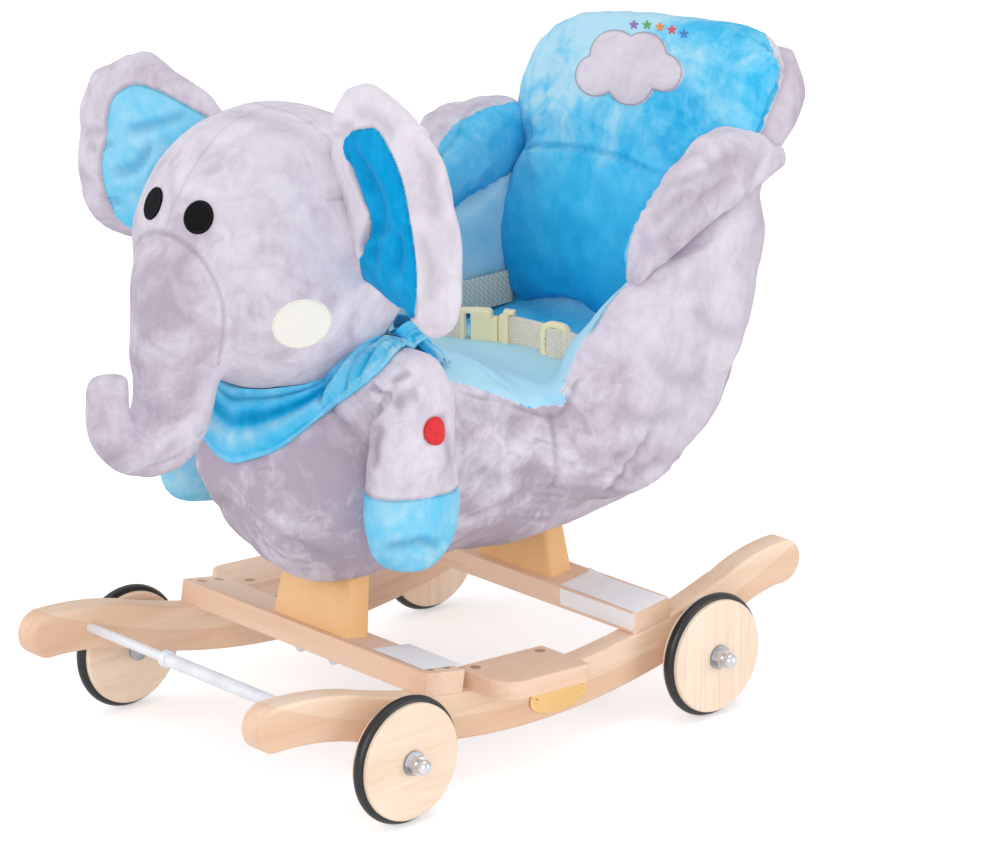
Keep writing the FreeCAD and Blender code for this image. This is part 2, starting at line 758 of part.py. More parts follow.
def side_wall(side):
    """A side wall of the bucket seat: low beside the lap, high beside the back."""
    wall_shares = ((0, 0.042, 0.34, 0, 0.308), (0.055, 0.023, 0.405, 0, 0.513),
                   (0.145, 0.005, 0.544, 0.026, 0.744), (0.227, 0, 0.633, 0.051, 0.872),
                   (0.336, 0.005, 0.721, 0.103, 0.974), (0.445, 0.019, 0.777, 0.128, 1),
                   (0.545, 0.07, 0.819, 0.154, 1), (0.677, 0.177, 0.879, 0.179, 1),
                   (0.809, 0.316, 0.935, 0.179, 0.949), (0.914, 0.507, 0.981, 0.179, 0.846),
                   (0.968, 0.693, 0.981, 0.154, 0.692), (1, 0.819, 0.935, 0.128, 0.462))
    rings = []
    for y, low, top, inner, outer in wall_shares:
        spot = V(wall_inner_x + wall_thickness * (inner + outer) / 2, wall_front_y + wall_length * y,
                 wall_low_z + wall_height * (low + top) / 2)
        rings.append(pad_ring(spot, X, Z, wall_thickness * (outer - inner) / 2,
                              wall_height * (top - low) / 2, ROUND))
    return mirrored(skin(rings), side)


def wing(side):
    """The padded wing on top of a side wall."""
    wing_shares = ((0, 0, 0.255, 0.128, 0.692), (0.042, 0.043, 0.468, 0.077, 0.846),
                   (0.127, 0.106, 0.681, 0.051, 0.949), (0.239, 0.17, 0.851, 0.026, 1),
                   (0.394, 0.255, 0.957, 0.026, 1), (0.563, 0.34, 1, 0.026, 0.974),
                   (0.732, 0.426, 0.979, 0.077, 0.897), (0.887, 0.511, 0.872, 0.154, 0.795),
                   (1, 0.596, 0.787, 0.282, 0.641))
    lift = backrest_slump * wing_inner_x * side
    rings = []
    for y, low, top, inner, outer in wing_shares:
        spot = V(wing_inner_x + wing_thickness * (inner + outer) / 2,
                 wing_front_y + wing_shift * side + wing_length * y,
                 wing_low_z + wing_height * (low + top) / 2 + lift)
        rings.append(pad_ring(spot, X, Z, wing_thickness * (outer - inner) / 2,
                              wing_height * (top - low) / 2, ROUND))
    return mirrored(skin(rings), side)


def arm_form():
    """The left arm from the shoulder to the end of the paw, flat on the side of the chest."""
    z_shares = (0, 0.08, 0.22, 0.42, 0.6, 0.78, 0.92, 1)
    depth_shares = (0.5, 0.82, 1, 1, 0.93, 0.86, 0.72, 0.46)
    width_shares = (0.5, 0.82, 1, 1, 0.98, 0.9, 0.76, 0.44)
    lean_shares = (0, 0, 0, 0.02, 0.04, 0.08, 0.12, 0.14)
    height = arm_top_z - paw_low_z
    half = (arm_outer_x - arm_inner_x) / 2
    rings = []
    for z, depth, width, lean in zip(z_shares, depth_shares, width_shares, lean_shares):
        y = shoulder_y + lean * arm_half_depth - arm_half_depth * 0.05
        rings.append(oval(V(arm_inner_x + half, y, paw_low_z + height * z), Y, X,
                          arm_half_depth * depth, half * width))
    return skin(rings)


def sound_unit():
    """The press button, whose stem slides in the sound box inside the left arm."""
    face_x = arm_outer_x - button_thickness
    box_x = face_x - button_travel - run_gap
    button = rod(button_radius, V(face_x, button_y, button_z), X, button_thickness)
    stem = rod(stem_radius, V(face_x, button_y, button_z), -X, stem_length)
    case = rod(sound_box_radius, V(box_x - sound_box_depth, button_y, button_z), X, sound_box_depth)
    socket = rod(stem_radius + run_gap, V(box_x + overrun, button_y, button_z), -X,
                 stem_length + overrun)
    well = rod(button_radius + run_gap, V(box_x, button_y, button_z), X, arm_outer_x - box_x + overrun)
    return clean(button.fuse(stem)), clean(case.cut(socket)), well


def surface(solid, start, way):
    """Where a ray from start, inside the solid, leaves it."""
    reach = solid.BoundBox.DiagonalLength
    inside = Part.makeLine(start, start + way * reach).common(solid)
    return max((v.Point for v in inside.Vertexes), key=lambda point: (point - start) * way)


def scarf(neck):
    """The scarf: a rolled rim and a second fold below it, with a point at the front."""
    fold_shares = ((0.3, 2.0), (0.48, 0.7), (0.72, 1.5), (1.0, 0.8))
    rings = []
    for turn in range(-150, 151, 30):
        angle = math.radians(turn)
        way = V(math.sin(angle), -math.cos(angle), 0)
        hem_z = scarf_hem_z - scarf_drop * max(0.0, 1 - abs(turn) / 75)

        def on_neck(share, lift):
            start = V(0, scarf_axis_y, scarf_rim_z + (hem_z - scarf_rim_z) * share)
            return surface(neck, start, way) + way * lift

        rim = on_neck(0, scarf_thickness / 2)
        roll, valley, fold, hem = (on_neck(share, scarf_thickness * thick) for share, thick in fold_shares)
        low = on_neck(1, -scarf_depth)
        back = on_neck(0, -scarf_depth)
        rings.append(Part.Wire([Part.Arc(rim, roll, valley).toShape(), Part.Arc(valley, fold, hem).toShape(),
                                Part.makeLine(hem, low), Part.makeLine(low, back), Part.makeLine(back, rim)]))
    return skin(rings)


def scarf_tail():
    """The loose end of the scarf, which lies on the front of the seat."""
    tail_shares = ((0, 0, 0.9, 1), (0.3, 0.22, 1, 1.1), (0.65, 0.6, 0.8, 1), (1, 1, 0.35, 0.6))
    rings = []
    for run, fall, width, thick in tail_shares:
        spot = V(tail_x - tail_half_width * run / 3, tail_y + tail_length * run, tail_z - tail_fall * fall)
        rings.append(oval(spot, X, Z, tail_half_width * width, tail_half_thickness * thick))
    return skin(rings)


def ribbon(edges):
    """A strip of webbing that stands on its edge along a path."""
    strip = Part.Wire(edges).makeOffset2D(web_thickness, 2, True, True)
    return strip.extrude(Z * web_width)


def belt():
    """The lap belt: two straps, the socket and plug that join them, and the slide adjuster."""
    low = belt_low_z
    mid_z = low + web_width / 2
    turn = math.radians(buckle_turn)
    along = V(math.cos(turn), math.sin(turn), 0)
    frame = FreeCAD.Placement(V(buckle_x, buckle_y, mid_z), FreeCAD.Rotation(Z, buckle_turn))
    half = buckle_length / 2

    def block(x0, x1, thickness, width):
        return box(x0, x1, -thickness / 2, thickness / 2, -width / 2, width / 2)

    inner = buckle_thickness - buckle_wall * 2
    wall = buckle_wall
    socket = block(-half, half, buckle_thickness, buckle_width)
    socket = socket.makeFillet(wall, [e for e in socket.Edges if e.BoundBox.YLength < buckle_thickness / 2])
    pocket = block(-half + buckle_slot + wall * 2, half + wall, inner, buckle_width - wall * 3)
    slot = box(-half + wall, -half + wall + buckle_slot, -buckle_thickness, buckle_thickness,
               -web_width / 2 - run_gap, web_width / 2 + run_gap)
    notches = [box(-half / 3, half / 2, -buckle_thickness, buckle_thickness, z0, z0 + buckle_width / 8)
               for z0 in (-buckle_width / 2 - wall, buckle_width * 3 / 8 + wall)]
    socket = clean(socket.cut(Part.makeCompound([pocket, slot, *notches])))
    plug = block(half + run_gap, half + plug_length, buckle_thickness - wall, buckle_width)
    plug = plug.makeFillet(wall, [e for e in plug.Edges if e.BoundBox.YLength < buckle_thickness / 2])
    room = (buckle_width - wall * 3) / 2 - run_gap
    prong_thickness = inner - run_gap * 2
    prongs = [box(half - plug_prong, half + wall, -prong_thickness / 2, prong_thickness / 2, z0, z1)
              for z0, z1 in ((-room, -room * 0.7), (-room * 0.15, room * 0.15), (room * 0.7, room))]
    grip = block(half + plug_length - wall * 2, half + plug_length + wall, web_thickness, web_width)
    plug = clean(plug.fuse(prongs).cut(grip))
    for piece in (socket, plug):
        piece.Placement = frame

    start = V(buckle_x, buckle_y, low) + along * (half + plug_length - wall * 2)
    near_end = V(near_anchor_x, near_anchor_y, low)
    near = ribbon([Part.Arc(start, V(adjuster_x, adjuster_y, low), near_end).toShape()])
    end = V(buckle_x, buckle_y, low) - along * (half - wall - web_thickness)
    bend = V(far_bend_x, far_bend_y, low)
    turn_point = V(far_turn_x, far_turn_y, low)
    anchor = V(far_anchor_x, far_anchor_y, low)
    far = ribbon([Part.makeLine(anchor, turn_point), Part.Arc(turn_point, bend, end).toShape()])

    slide_frame = FreeCAD.Placement(V(adjuster_x, adjuster_y, mid_z), FreeCAD.Rotation(Z, 0))
    a, c = adjuster_length / 2, adjuster_width / 2
    front = -web_thickness - adjuster_thickness
    ring = box(-a, a, front, web_thickness * 2, -c, c)
    ring = ring.makeFillet(adjuster_bar, [e for e in ring.Edges if e.BoundBox.YLength > web_thickness])
    bar = adjuster_bar
    window = box(-a + bar, a - bar, front - wall, web_thickness * 3,
                 -web_width / 2 - run_gap, web_width / 2 + run_gap)
    room_y = web_thickness + run_gap
    tunnel = box(-a - wall, a + wall, -room_y, web_thickness * 3, -web_width / 2 - run_gap,
                 web_width / 2 + run_gap)
    crossbar = box(-bar / 2, bar / 2, room_y, web_thickness * 3, -c + bar / 2, c - bar / 2)
    slide = clean(ring.cut(window).cut(tunnel).fuse(crossbar).removeSplitter())
    slide.Placement = slide_frame
    return {"buckle_socket": socket, "buckle_plug": plug, "near_strap": near, "far_strap": far,
            "strap_slide": slide}


def group(shapes):
    return shapes[0] if len(shapes) == 1 else Part.makeCompound(shapes)


def build():
    nodes = {}

    boards = {"front": (front_board_y, front_board_tilt), "rear": (rear_board_y, rear_board_tilt)}
    board_solids = {name: cross_board(*place) for name, place in boards.items()}
    posts = {name: post(*place) for name, place in boards.items()}
    base_board, back_board = plywood()
    rest = footrest()
    bar = rocker()
    bar = bar.cut(Part.makeCompound([*board_solids.values(), rest]))

    # Screws through the boards and footrests into the rockers
    board_screws, footrest_screws = [], []
    for name, place in boards.items():
        frame = board_frame(*place)
        way = frame.Rotation.multVec(-Z)
        for side in (1, -1):
            for step in (-0.5, 0.5):
                spot = V(side * board_screw_x, step * board_screw_pitch, board_thickness)
                board_screws.append(screw(frame.multVec(spot), way, screw_length))
    frame = footrest_frame()
    way = frame.Rotation.multVec(-Z)
    for y in (footrest_screw_inset, footrest_length - footrest_screw_inset):
        spot = frame.multVec(V(board_screw_x, y, footrest_thickness))
        footrest_screws.append(screw(spot, way, screw_length))

    # Wheels and their fixings
    small = {key: [] for key in ("axle_plates", "axle_plate_screws", "axle_studs", "wheel_spacers",
                                 "wheel_washers", "wheel_cap_nuts")}
    for end, y in (("front", -wheel_spread_y), ("rear", wheel_spread_y)):
        for name, side in SIDES:
            pieces = wheel_set(y, wheel_outer_x[name])
            nodes[f"{end}_{name}_wheel"] = mirrored(pieces["wheel"], side)
            nodes[f"{end}_{name}_tyre"] = mirrored(pieces["tyre"], side)
            for key, found in small.items():
                piece = pieces[key]
                found.extend(mirrored(p, side) for p in (piece if isinstance(piece, list) else [piece]))
    for key, found in small.items():
        nodes[key] = group(found)

    rod_bar, sleeve = stretcher()
    plate, pins = oval_plate()
    bolts, nuts = [], []
    for place in boards.values():
        more_bolts, more_nuts = post_bolts(*place)
        bolts += more_bolts
        nuts += more_nuts

    left_bar = bar.cut(Part.makeCompound([rod_bar, *pins]))
    right_bar = mirrored(bar, -1).cut(rod_bar)
    wood_screws = Part.makeCompound([*board_screws, *small["axle_plate_screws"]])
    all_footrest_screws = footrest_screws + [mirrored(s, -1) for s in footrest_screws]
    nodes["left_rocker"] = clean(left_bar.cut(wood_screws).cut(Part.makeCompound(footrest_screws)))
    nodes["right_rocker"] = clean(right_bar.cut(wood_screws).cut(Part.makeCompound(all_footrest_screws)))
    for name in boards:
        drilled = board_solids[name].cut(Part.makeCompound([*board_screws, *bolts]))
        nodes[f"{name}_cross_board"] = clean(drilled)
        nodes[f"{name}_post"] = clean(posts[name].cut(Part.makeCompound(bolts)))
    drilled_rest = clean(rest.cut(Part.makeCompound(footrest_screws)))
    for name, side in SIDES:
        nodes[f"{name}_footrest"] = mirrored(drilled_rest, side)
    nodes["board_screws"] = group(board_screws + all_footrest_screws)
    nodes["post_bolts"] = group(bolts)
    nodes["post_cap_nuts"] = group(nuts)
    nodes["stretcher_rod"] = rod_bar
    nodes["stretcher_sleeve"] = sleeve
    nodes["oval_plate"] = plate
    nodes["plate_pins"] = group(pins)
    nodes["seat_base_board"] = base_board
    nodes["back_board"] = back_board

    # Stuffed pieces, the larger ones first, each cut by what is already there
    hard = [base_board, back_board, *posts.values()]
    cushion = largest(seat_cushion().cut(back_board))
    nodes["seat_cushion"] = cushion
    pockets = [rod(shoulder_radius + run_gap, V(side * (shoulder_x - run_gap), shoulder_y, shoulder_z),
                   X * side, arm_inner_x) for name, side in SIDES]
    chest_solid = largest(chest().cut(Part.makeCompound([*hard, *pockets, cushion])))
    nodes["chest"] = chest_solid
    base_solid = largest(seat_base().cut(Part.makeCompound([*hard, cushion])))
    nodes["seat_base"] = base_solid
    head_solid = largest(head().cut(chest_solid).cut(cushion))
    nodes["head"] = head_solid
    shell = largest(back_shell().cut(base_solid).cut(back_board).cut(cushion))
    nodes["back_shell"] = shell
    walls = {}
    for name, side in SIDES:
        wall = side_wall(side)
        for other in (base_solid, chest_solid, shell, cushion, back_board):
            wall = largest(wall.cut(other))
        walls[name] = wall
        nodes[f"{name}_side_wall"] = wall
    back = lying_pad(back_cushion_y, back_cushion_z, back_cushion_half_width, back_cushion_half_height,
                     back_cushion_half_thickness, back_board_lean / 4, 0)
    for other in (cushion, base_solid, shell, back_board, walls["left"], walls["right"]):
        back = largest(back.cut(other))
    nodes["back_cushion"] = back
    rest_pad = lying_pad(headrest_y, headrest_z, headrest_half_width, headrest_half_height,
                         headrest_half_thickness, headrest_lean, backrest_slump)
    for other in (shell, back, back_board, walls["left"], walls["right"]):
        rest_pad = largest(rest_pad.cut(other))
    nodes["headrest"] = rest_pad
    for name, side in SIDES:
        pad = wing(side)
        for other in (shell, back, rest_pad, walls[name]):
            pad = largest(pad.cut(other))
        nodes[f"{name}_wing"] = pad
    nodes["trunk"] = largest(trunk().cut(head_solid).cut(chest_solid))
    for name, side in SIDES:
        nodes[f"{name}_ear"] = largest(ear(side).cut(head_solid))

    # Arms
    button, sound_box, well = sound_unit()
    root = rod(shoulder_radius, V(shoulder_x, shoulder_y, shoulder_z), X,
               arm_inner_x - shoulder_x + shoulder_radius)
    arm = arm_form().fuse(root)
    cuff = box(arm_inner_x - overrun, arm_outer_x + overrun, shoulder_y - arm_half_depth * 2,
               shoulder_y + arm_half_depth * 2, paw_low_z - overrun, wrist_z)
    paw = largest(arm.common(cuff))
    sleeve_part = largest(arm.cut(cuff))
    nodes["left_arm"] = largest(sleeve_part.cut(sound_box).cut(well))
    nodes["right_arm"] = mirrored(sleeve_part, -1)
    for name, side in SIDES:
        nodes[f"{name}_paw"] = mirrored(paw, side)
    nodes["sound_box"] = sound_box
    nodes["sound_button"] = button

    # Scarf, face patches and belt
    wrap = largest(scarf(chest_solid).cut(chest_solid).cut(head_solid).cut(Part.makeCompound(pockets)))
    for other in (nodes["trunk"], nodes["left_arm"], nodes["right_arm"], cushion):
        wrap = largest(wrap.cut(other))
    nodes["scarf"] = wrap
    tail = scarf_tail()
    for other in (cushion, chest_solid, head_solid, wrap, nodes["left_arm"]):
        tail = largest(tail.cut(other))
    nodes["scarf_tail"] = tail
    eye = patch(eye_x, eye_z, eye_half_width, eye_half_height, head_solid)
    cheek = patch(cheek_x, cheek_z, cheek_half_width, cheek_half_height, head_solid)
    nodes["eye_patches"] = group([eye, mirrored(eye, -1)])
    nodes["cheek_patches"] = group([cheek, mirrored(cheek, -1)])
    straps = belt()
    for name, strap in (("buckle_plug", "near_strap"), ("buckle_socket", "far_strap"),
                        ("strap_slide", "near_strap")):
        straps[name] = clean(straps[name].cut(straps[strap]))
    for name, piece in straps.items():
        nodes[name] = clean(piece.cut(Part.makeCompound([walls["left"], walls["right"], back, cushion])))

    return nodes


if __name__ == "__main__":
    os.makedirs("parts", exist_ok=True)
    for name, shape in build().items():
        shape.exportStep(f"parts/{name}.step")
        print(name, len(shape.Solids), shape.isValid(), round(shape.Volume / 1000, 1))
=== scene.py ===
"""The looks of the stuffed elephant rocker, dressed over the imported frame."""

import math

import bmesh
import bpy
import numpy as np
from mathutils import Matrix, Vector
from mathutils.bvhtree import BVHTree


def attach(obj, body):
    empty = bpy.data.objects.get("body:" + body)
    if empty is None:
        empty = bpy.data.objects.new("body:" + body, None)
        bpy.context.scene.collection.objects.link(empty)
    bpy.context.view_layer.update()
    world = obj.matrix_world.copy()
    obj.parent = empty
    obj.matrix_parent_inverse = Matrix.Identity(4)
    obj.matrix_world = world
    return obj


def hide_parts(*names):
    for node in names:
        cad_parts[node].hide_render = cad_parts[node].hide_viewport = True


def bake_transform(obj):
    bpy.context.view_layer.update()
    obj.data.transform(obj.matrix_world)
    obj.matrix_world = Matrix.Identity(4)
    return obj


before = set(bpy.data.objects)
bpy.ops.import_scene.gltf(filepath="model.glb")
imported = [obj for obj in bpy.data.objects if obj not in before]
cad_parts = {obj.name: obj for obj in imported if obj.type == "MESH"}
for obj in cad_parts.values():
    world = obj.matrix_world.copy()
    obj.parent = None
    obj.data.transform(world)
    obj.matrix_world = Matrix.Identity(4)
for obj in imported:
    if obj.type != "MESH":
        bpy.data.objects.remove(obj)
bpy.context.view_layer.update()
scene = bpy.context.scene
MM = 0.001
SEAT = "frame_and_seat"

# The camera stands where the photograph was taken, in millimetres and degrees.
EYE = np.array((2391.5, -2114.0, 1253.7))
YAW, PITCH, ROLL = (math.radians(a) for a in (48.423, 17.947, -0.658))
FOCAL, MIDDLE_X, MIDDLE_Y = 4681.83, 419.0, 420.5
BACKWARD = np.array((math.sin(YAW) * math.cos(PITCH), -math.cos(YAW) * math.cos(PITCH), math.sin(PITCH)))
LEVEL = np.cross(-BACKWARD, (0, 0, 1.0))
LEVEL /= np.linalg.norm(LEVEL)
UPRIGHT = np.cross(LEVEL, -BACKWARD)
RIGHT = LEVEL * math.cos(ROLL) + UPRIGHT * math.sin(ROLL)
UP = -LEVEL * math.sin(ROLL) + UPRIGHT * math.cos(ROLL)

camera = bpy.data.objects.new("camera", bpy.data.cameras.new("camera"))
scene.collection.objects.link(camera)
camera.data.lens = 36 * FOCAL / 1000
camera.data.shift_x = (500 - MIDDLE_X) / 1000
camera.data.clip_end = 20
camera.matrix_world = Matrix([(RIGHT[i], UP[i], BACKWARD[i], EYE[i] * MM) for i in range(3)] + [(0, 0, 0, 1)])
scene.camera = camera
scene.view_settings.view_transform = "Standard"


# Small tools

def ray(pixel):
    """The way that a point of the photograph looks."""
    way = -BACKWARD + RIGHT * ((pixel[0] - MIDDLE_X) / FOCAL) - UP * ((pixel[1] - MIDDLE_Y) / FOCAL)
    return way / np.linalg.norm(way)


def seen(points):
    """Where points in millimetres stand in the photograph."""
    away = points - EYE
    depth = away @ -BACKWARD
    return np.stack([MIDDLE_X + FOCAL * (away @ RIGHT) / depth, MIDDLE_Y - FOCAL * (away @ UP) / depth], 1)


def link(name, mesh):
    made = bpy.data.objects.new(name, mesh)
    scene.collection.objects.link(made)
    return made


def points_of(piece):
    """The vertices and their normals, in millimetres."""
    count = len(piece.data.vertices)
    spots, ways = np.empty(count * 3), np.empty(count * 3)
    piece.data.vertices.foreach_get("co", spots)
    piece.data.vertex_normals.foreach_get("vector", ways)
    return spots.reshape(-1, 3) / MM, ways.reshape(-1, 3)


def move_to(piece, spots):
    piece.data.vertices.foreach_set("co", (spots * MM).ravel())
    piece.data.update()


def settled(piece):
    """Keep what the modifiers make as the piece's own mesh."""
    graph = bpy.context.evaluated_depsgraph_get()
    made = bpy.data.meshes.new_from_object(piece.evaluated_get(graph))
    piece.modifiers.clear()
    piece.data = made


def skin(name, nodes, voxel=4.0, grow=0.8, smooth=8, swellings=()):
    """One closed cover round the copies of some nodes, and round swellings that are each a middle and three radii."""
    builder = bmesh.new()
    for node in nodes:
        builder.from_mesh(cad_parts[node].data)
    for middle, radii in swellings:
        at = Matrix.Translation(Vector(middle) * MM) @ Matrix.Diagonal((*(r * MM for r in radii), 1))
        bmesh.ops.create_icosphere(builder, subdivisions=4, radius=1.0, matrix=at)
    bmesh.ops.remove_doubles(builder, verts=builder.verts, dist=1e-6)
    builder.normal_update()
    mesh = bpy.data.meshes.new(name)
    builder.to_mesh(mesh)
    builder.free()
    made = link(name, mesh)
    if grow:
        spots, ways = points_of(made)
        move_to(made, spots + ways * grow)
    voxels = made.modifiers.new("voxels", "REMESH")
    voxels.mode = "VOXEL"
    voxels.voxel_size = voxel * MM
    voxels.use_smooth_shade = True
    if smooth:
        relax = made.modifiers.new("relax", "SMOOTH")
        relax.factor = 0.5
        relax.iterations = smooth
    settled(made)
    made["nodes"] = list(nodes)
    return made


def puff(pieces, frames=18):
    """Blow the covers up as cloth, each point by no more than the piece's cap."""
    before = {}
    for piece, cap, pressure, slack in pieces:
        before[piece.name] = points_of(piece)[0]
        cloth = piece.modifiers.new("cloth", "CLOTH")
        cloth.settings.effector_weights.gravity = 0
        cloth.settings.use_pressure = True
        cloth.settings.uniform_pressure_force = pressure
        cloth.settings.quality = 5
        cloth.settings.shrink_min = -slack
        cloth.settings.bending_stiffness = 0.5
        cloth.collision_settings.use_collision = False
        cloth.point_cache.frame_start = 1
        cloth.point_cache.frame_end = frames
    for step in range(1, frames + 1):
        scene.frame_set(step)
    graph = bpy.context.evaluated_depsgraph_get()
    for piece, cap, pressure, slack in pieces:
        blown = bpy.data.meshes.new_from_object(piece.evaluated_get(graph))
        spots = np.empty(len(blown.vertices) * 3)
        blown.vertices.foreach_get("co", spots)
        moved = spots.reshape(-1, 3) / MM - before[piece.name]
        far = np.linalg.norm(moved, axis=1, keepdims=True)
        moved *= np.minimum(1, cap / np.maximum(far, 1e-6))
        piece.modifiers.clear()
        bpy.data.meshes.remove(blown)
        move_to(piece, before[piece.name] + moved)
    scene.frame_set(1)


def finer(piece, levels=1):
    """Divide the faces once more, so that seams and folds can be formed."""
    divide = piece.modifiers.new("divide", "SUBSURF")
    divide.levels = divide.render_levels = levels
    settled(piece)
    piece.data.polygons.foreach_set("use_smooth", [True] * len(piece.data.polygons))


TREES = {}


def tree(piece, fresh=False):
    """A finder of the nearest point on a piece, kept until a fresh one is asked for."""
    if fresh or piece.name not in TREES:
        TREES[piece.name] = BVHTree.FromObject(piece, bpy.context.evaluated_depsgraph_get())
    return TREES[piece.name]


def cast(piece, pixels):
    """The points of a piece behind points of the photograph."""
    finder = tree(piece)
    found = []
    for pixel in pixels:
        way = ray(pixel)
        hit = finder.ray_cast(Vector(EYE * MM), Vector(way))[0]
        if hit is None:
            near = EYE + way * np.dot(np.array((0, 0, 300.0)) - EYE, way)
            for step in range(3):
                hit = finder.find_nearest(Vector(near * MM))[0]
                near = EYE + way * np.dot(np.array(hit) / MM - EYE, way)
        found.append(np.array(hit) / MM)
    return np.array(found)


def snap(piece, spots):
    """The points of a piece nearest to some points."""
    finder = tree(piece)
    return np.array([np.array(finder.find_nearest(Vector(np.array(s) * MM))[0]) / MM for s in spots])


def smooth_line(spots, every=4.0):
    """A rounded line through some points, with a point every few millimetres."""
    spots = np.array(spots, float)
    ends = np.vstack([2 * spots[0] - spots[1], spots, 2 * spots[-1] - spots[-2]])
    made = []
    for i in range(1, len(ends) - 2):
        a, b, c, d = ends[i - 1:i + 3]
        count = max(2, int(np.linalg.norm(c - b) / every))
        for t in np.arange(count) / count:
            made.append(0.5 * (2 * b + (c - a) * t + (2 * a - 5 * b + 4 * c - d) * t * t
                               + (3 * b - a - 3 * c + d) * t ** 3))
    made.append(spots[-1])
    return np.array(made)


def away_from(spots, line):
    """How far each point is from a line, and how far along the line its nearest point is, from 0 to 1."""
    best = np.full(len(spots), 1e9)
    along = np.zeros(len(spots))
    steps = np.linalg.norm(np.diff(line, axis=0), axis=1)
    whole = steps.sum()
    run = 0.0
    for a, b, step in zip(line[:-1], line[1:], steps):
        way = b - a
        t = np.clip(((spots - a) @ way) / max(step * step, 1e-9), 0, 1)
        far = np.linalg.norm(spots - (a + t[:, None] * way), axis=1)
        closer = far < best
        best[closer] = far[closer]
        along[closer] = (run + t[closer] * step) / whole
        run += step
    return best, along


def pull(piece, pairs, radius=20.0):
    """Shift a piece across the view, so that a line on it lands where the photograph shows it. The shift fades
    away from the line, and to nothing beyond its ends."""
    spots, ways = points_of(piece)
    starts = np.array([start for start, end in pairs], float)
    shifts = np.array([end for start, end in pairs], float) - starts
    steps = np.linalg.norm(np.diff(starts, axis=0), axis=1)
    places = np.concatenate([[0], np.cumsum(steps)]) / steps.sum()
    far, along = away_from(seen(spots), starts)
    share = np.exp(-(far / radius) ** 2)[:, None]
    shift = np.stack([np.interp(along, places, shifts[:, i]) for i in (0, 1)], 1) * share
    depth = ((spots - EYE) @ -BACKWARD / FOCAL)[:, None]
    move_to(piece, spots + (RIGHT * shift[:, :1] - UP * shift[:, 1:]) * depth)


def tell(piece, name, values):
    """Store one number for each vertex."""
    held = piece.data.attributes.get(name) or piece.data.attributes.new(name, "FLOAT", "POINT")
    held.data.foreach_set("value", np.asarray(values, np.float32))


def told(piece, name):
    values = np.zeros(len(piece.data.vertices), np.float32)
    held = piece.data.attributes.get(name)
    if held:
        held.data.foreach_get("value", values)
    return values


def crease(piece, line, width=3.0, depth=1.5, lip=0.4, fade=True, shade=1.0):
    """Press a groove into a piece along a line, with soft lips beside it, and store painted shade along the
    groove, as strong as shade asks. A negative depth raises a fold, which gets no painted shade.
    """
    line = smooth_line(line)
    spots, ways = points_of(piece)
    low, high = line.min(0) - 5 * width, line.max(0) + 5 * width
    inside = np.all((spots > low) & (spots < high), axis=1)
    far, along = away_from(spots[inside], line)
    ends = np.clip(np.minimum(along, 1 - along) * 6, 0, 1) if fade else 1.0
    near = np.exp(-(far / width) ** 2)
    wide = np.exp(-(far / (2.4 * width)) ** 2)
    push = (-depth * near + depth * lip * (wide - near)) * ends
    spots[inside] += ways[inside] * push[:, None]
    move_to(piece, spots)
    # Painted shade: the groove's darkening is kept per vertex, for the plush to darken its colour there.
    if shade and depth > 0:
        painted_shade = told(piece, "painted_shade")
        painted_shade[inside] = np.maximum(painted_shade[inside], near * ends * shade)
        tell(piece, "painted_shade", painted_shade)


def seam(piece, line, width=1.6, depth=1.3, shade=0.8):
    crease(piece, line, width, depth, 0.7, False, shade)


def inside_shape(flat, outline):
    """How far points are inside a closed outline, less than zero outside."""
    outline = np.array(outline, float)
    closed = np.vstack([outline, outline[:1]])
    best = np.full(len(flat), 1e9)
    held = np.zeros(len(flat), bool)
    for a, b in zip(closed[:-1], closed[1:]):
        way = b - a
        t = np.clip(((flat - a) @ way) / max(way @ way, 1e-9), 0, 1)
        best = np.minimum(best, np.linalg.norm(flat - (a + t[:, None] * way), axis=1))
        crosses = (a[1] > flat[:, 1]) != (b[1] > flat[:, 1])
        rise = np.where(abs(b[1] - a[1]) < 1e-9, 1e-9, b[1] - a[1])
        held ^= crosses & (flat[:, 0] < (b[0] - a[0]) * (flat[:, 1] - a[1]) / rise + a[0])
    return np.where(held, best, -best)


def stitches(name, line, length=2.2, gap=1.5, thick=0.35, raised=0.2, piece=None, across=0.0):
    """A row of thread stitches along a line, laid on a piece."""
    line = np.array(line, float)
    steps = np.linalg.norm(np.diff(line, axis=0), axis=1)
    runs = np.concatenate([[0], np.cumsum(steps)])
    finder = tree(piece) if piece else None
    builder = bmesh.new()
    place, number = 0.0, 0
    while place + length < runs[-1]:
        ends = [np.array([np.interp(p, runs, line[:, i]) for i in range(3)]) for p in (place, place + length)]
        way = ends[1] - ends[0]
        size = np.linalg.norm(way)
        if finder:
            hit, normal = finder.find_nearest(Vector((ends[0] + ends[1]) / 2 * MM))[:2]
            normal = np.array(normal)
        else:
            normal = np.array((0, 0, 1.0))
        side = np.cross(normal, way / size)
        turn = across * (1 if number % 2 else -1)
        way = way * math.cos(turn) + side * size * math.sin(turn)
        middle = (ends[0] + ends[1]) / 2 + normal * raised
        frame_of = Matrix([(way[i] / size, side[i], normal[i], middle[i] * MM) for i in range(3)] + [(0, 0, 0, 1)])
        made = bmesh.ops.create_icosphere(builder, subdivisions=1, radius=1.0)
        grown = frame_of @ Matrix.Diagonal((size * 0.55 * MM, thick * MM, thick * MM, 1))
        bmesh.ops.transform(builder, matrix=grown, verts=made["verts"])
        place += length + gap
        number += 1
    mesh = bpy.data.meshes.new(name)
    builder.to_mesh(mesh)
    builder.free()
    mesh.polygons.foreach_set("use_smooth", [True] * len(mesh.polygons))
    return link(name, mesh)


# Materials

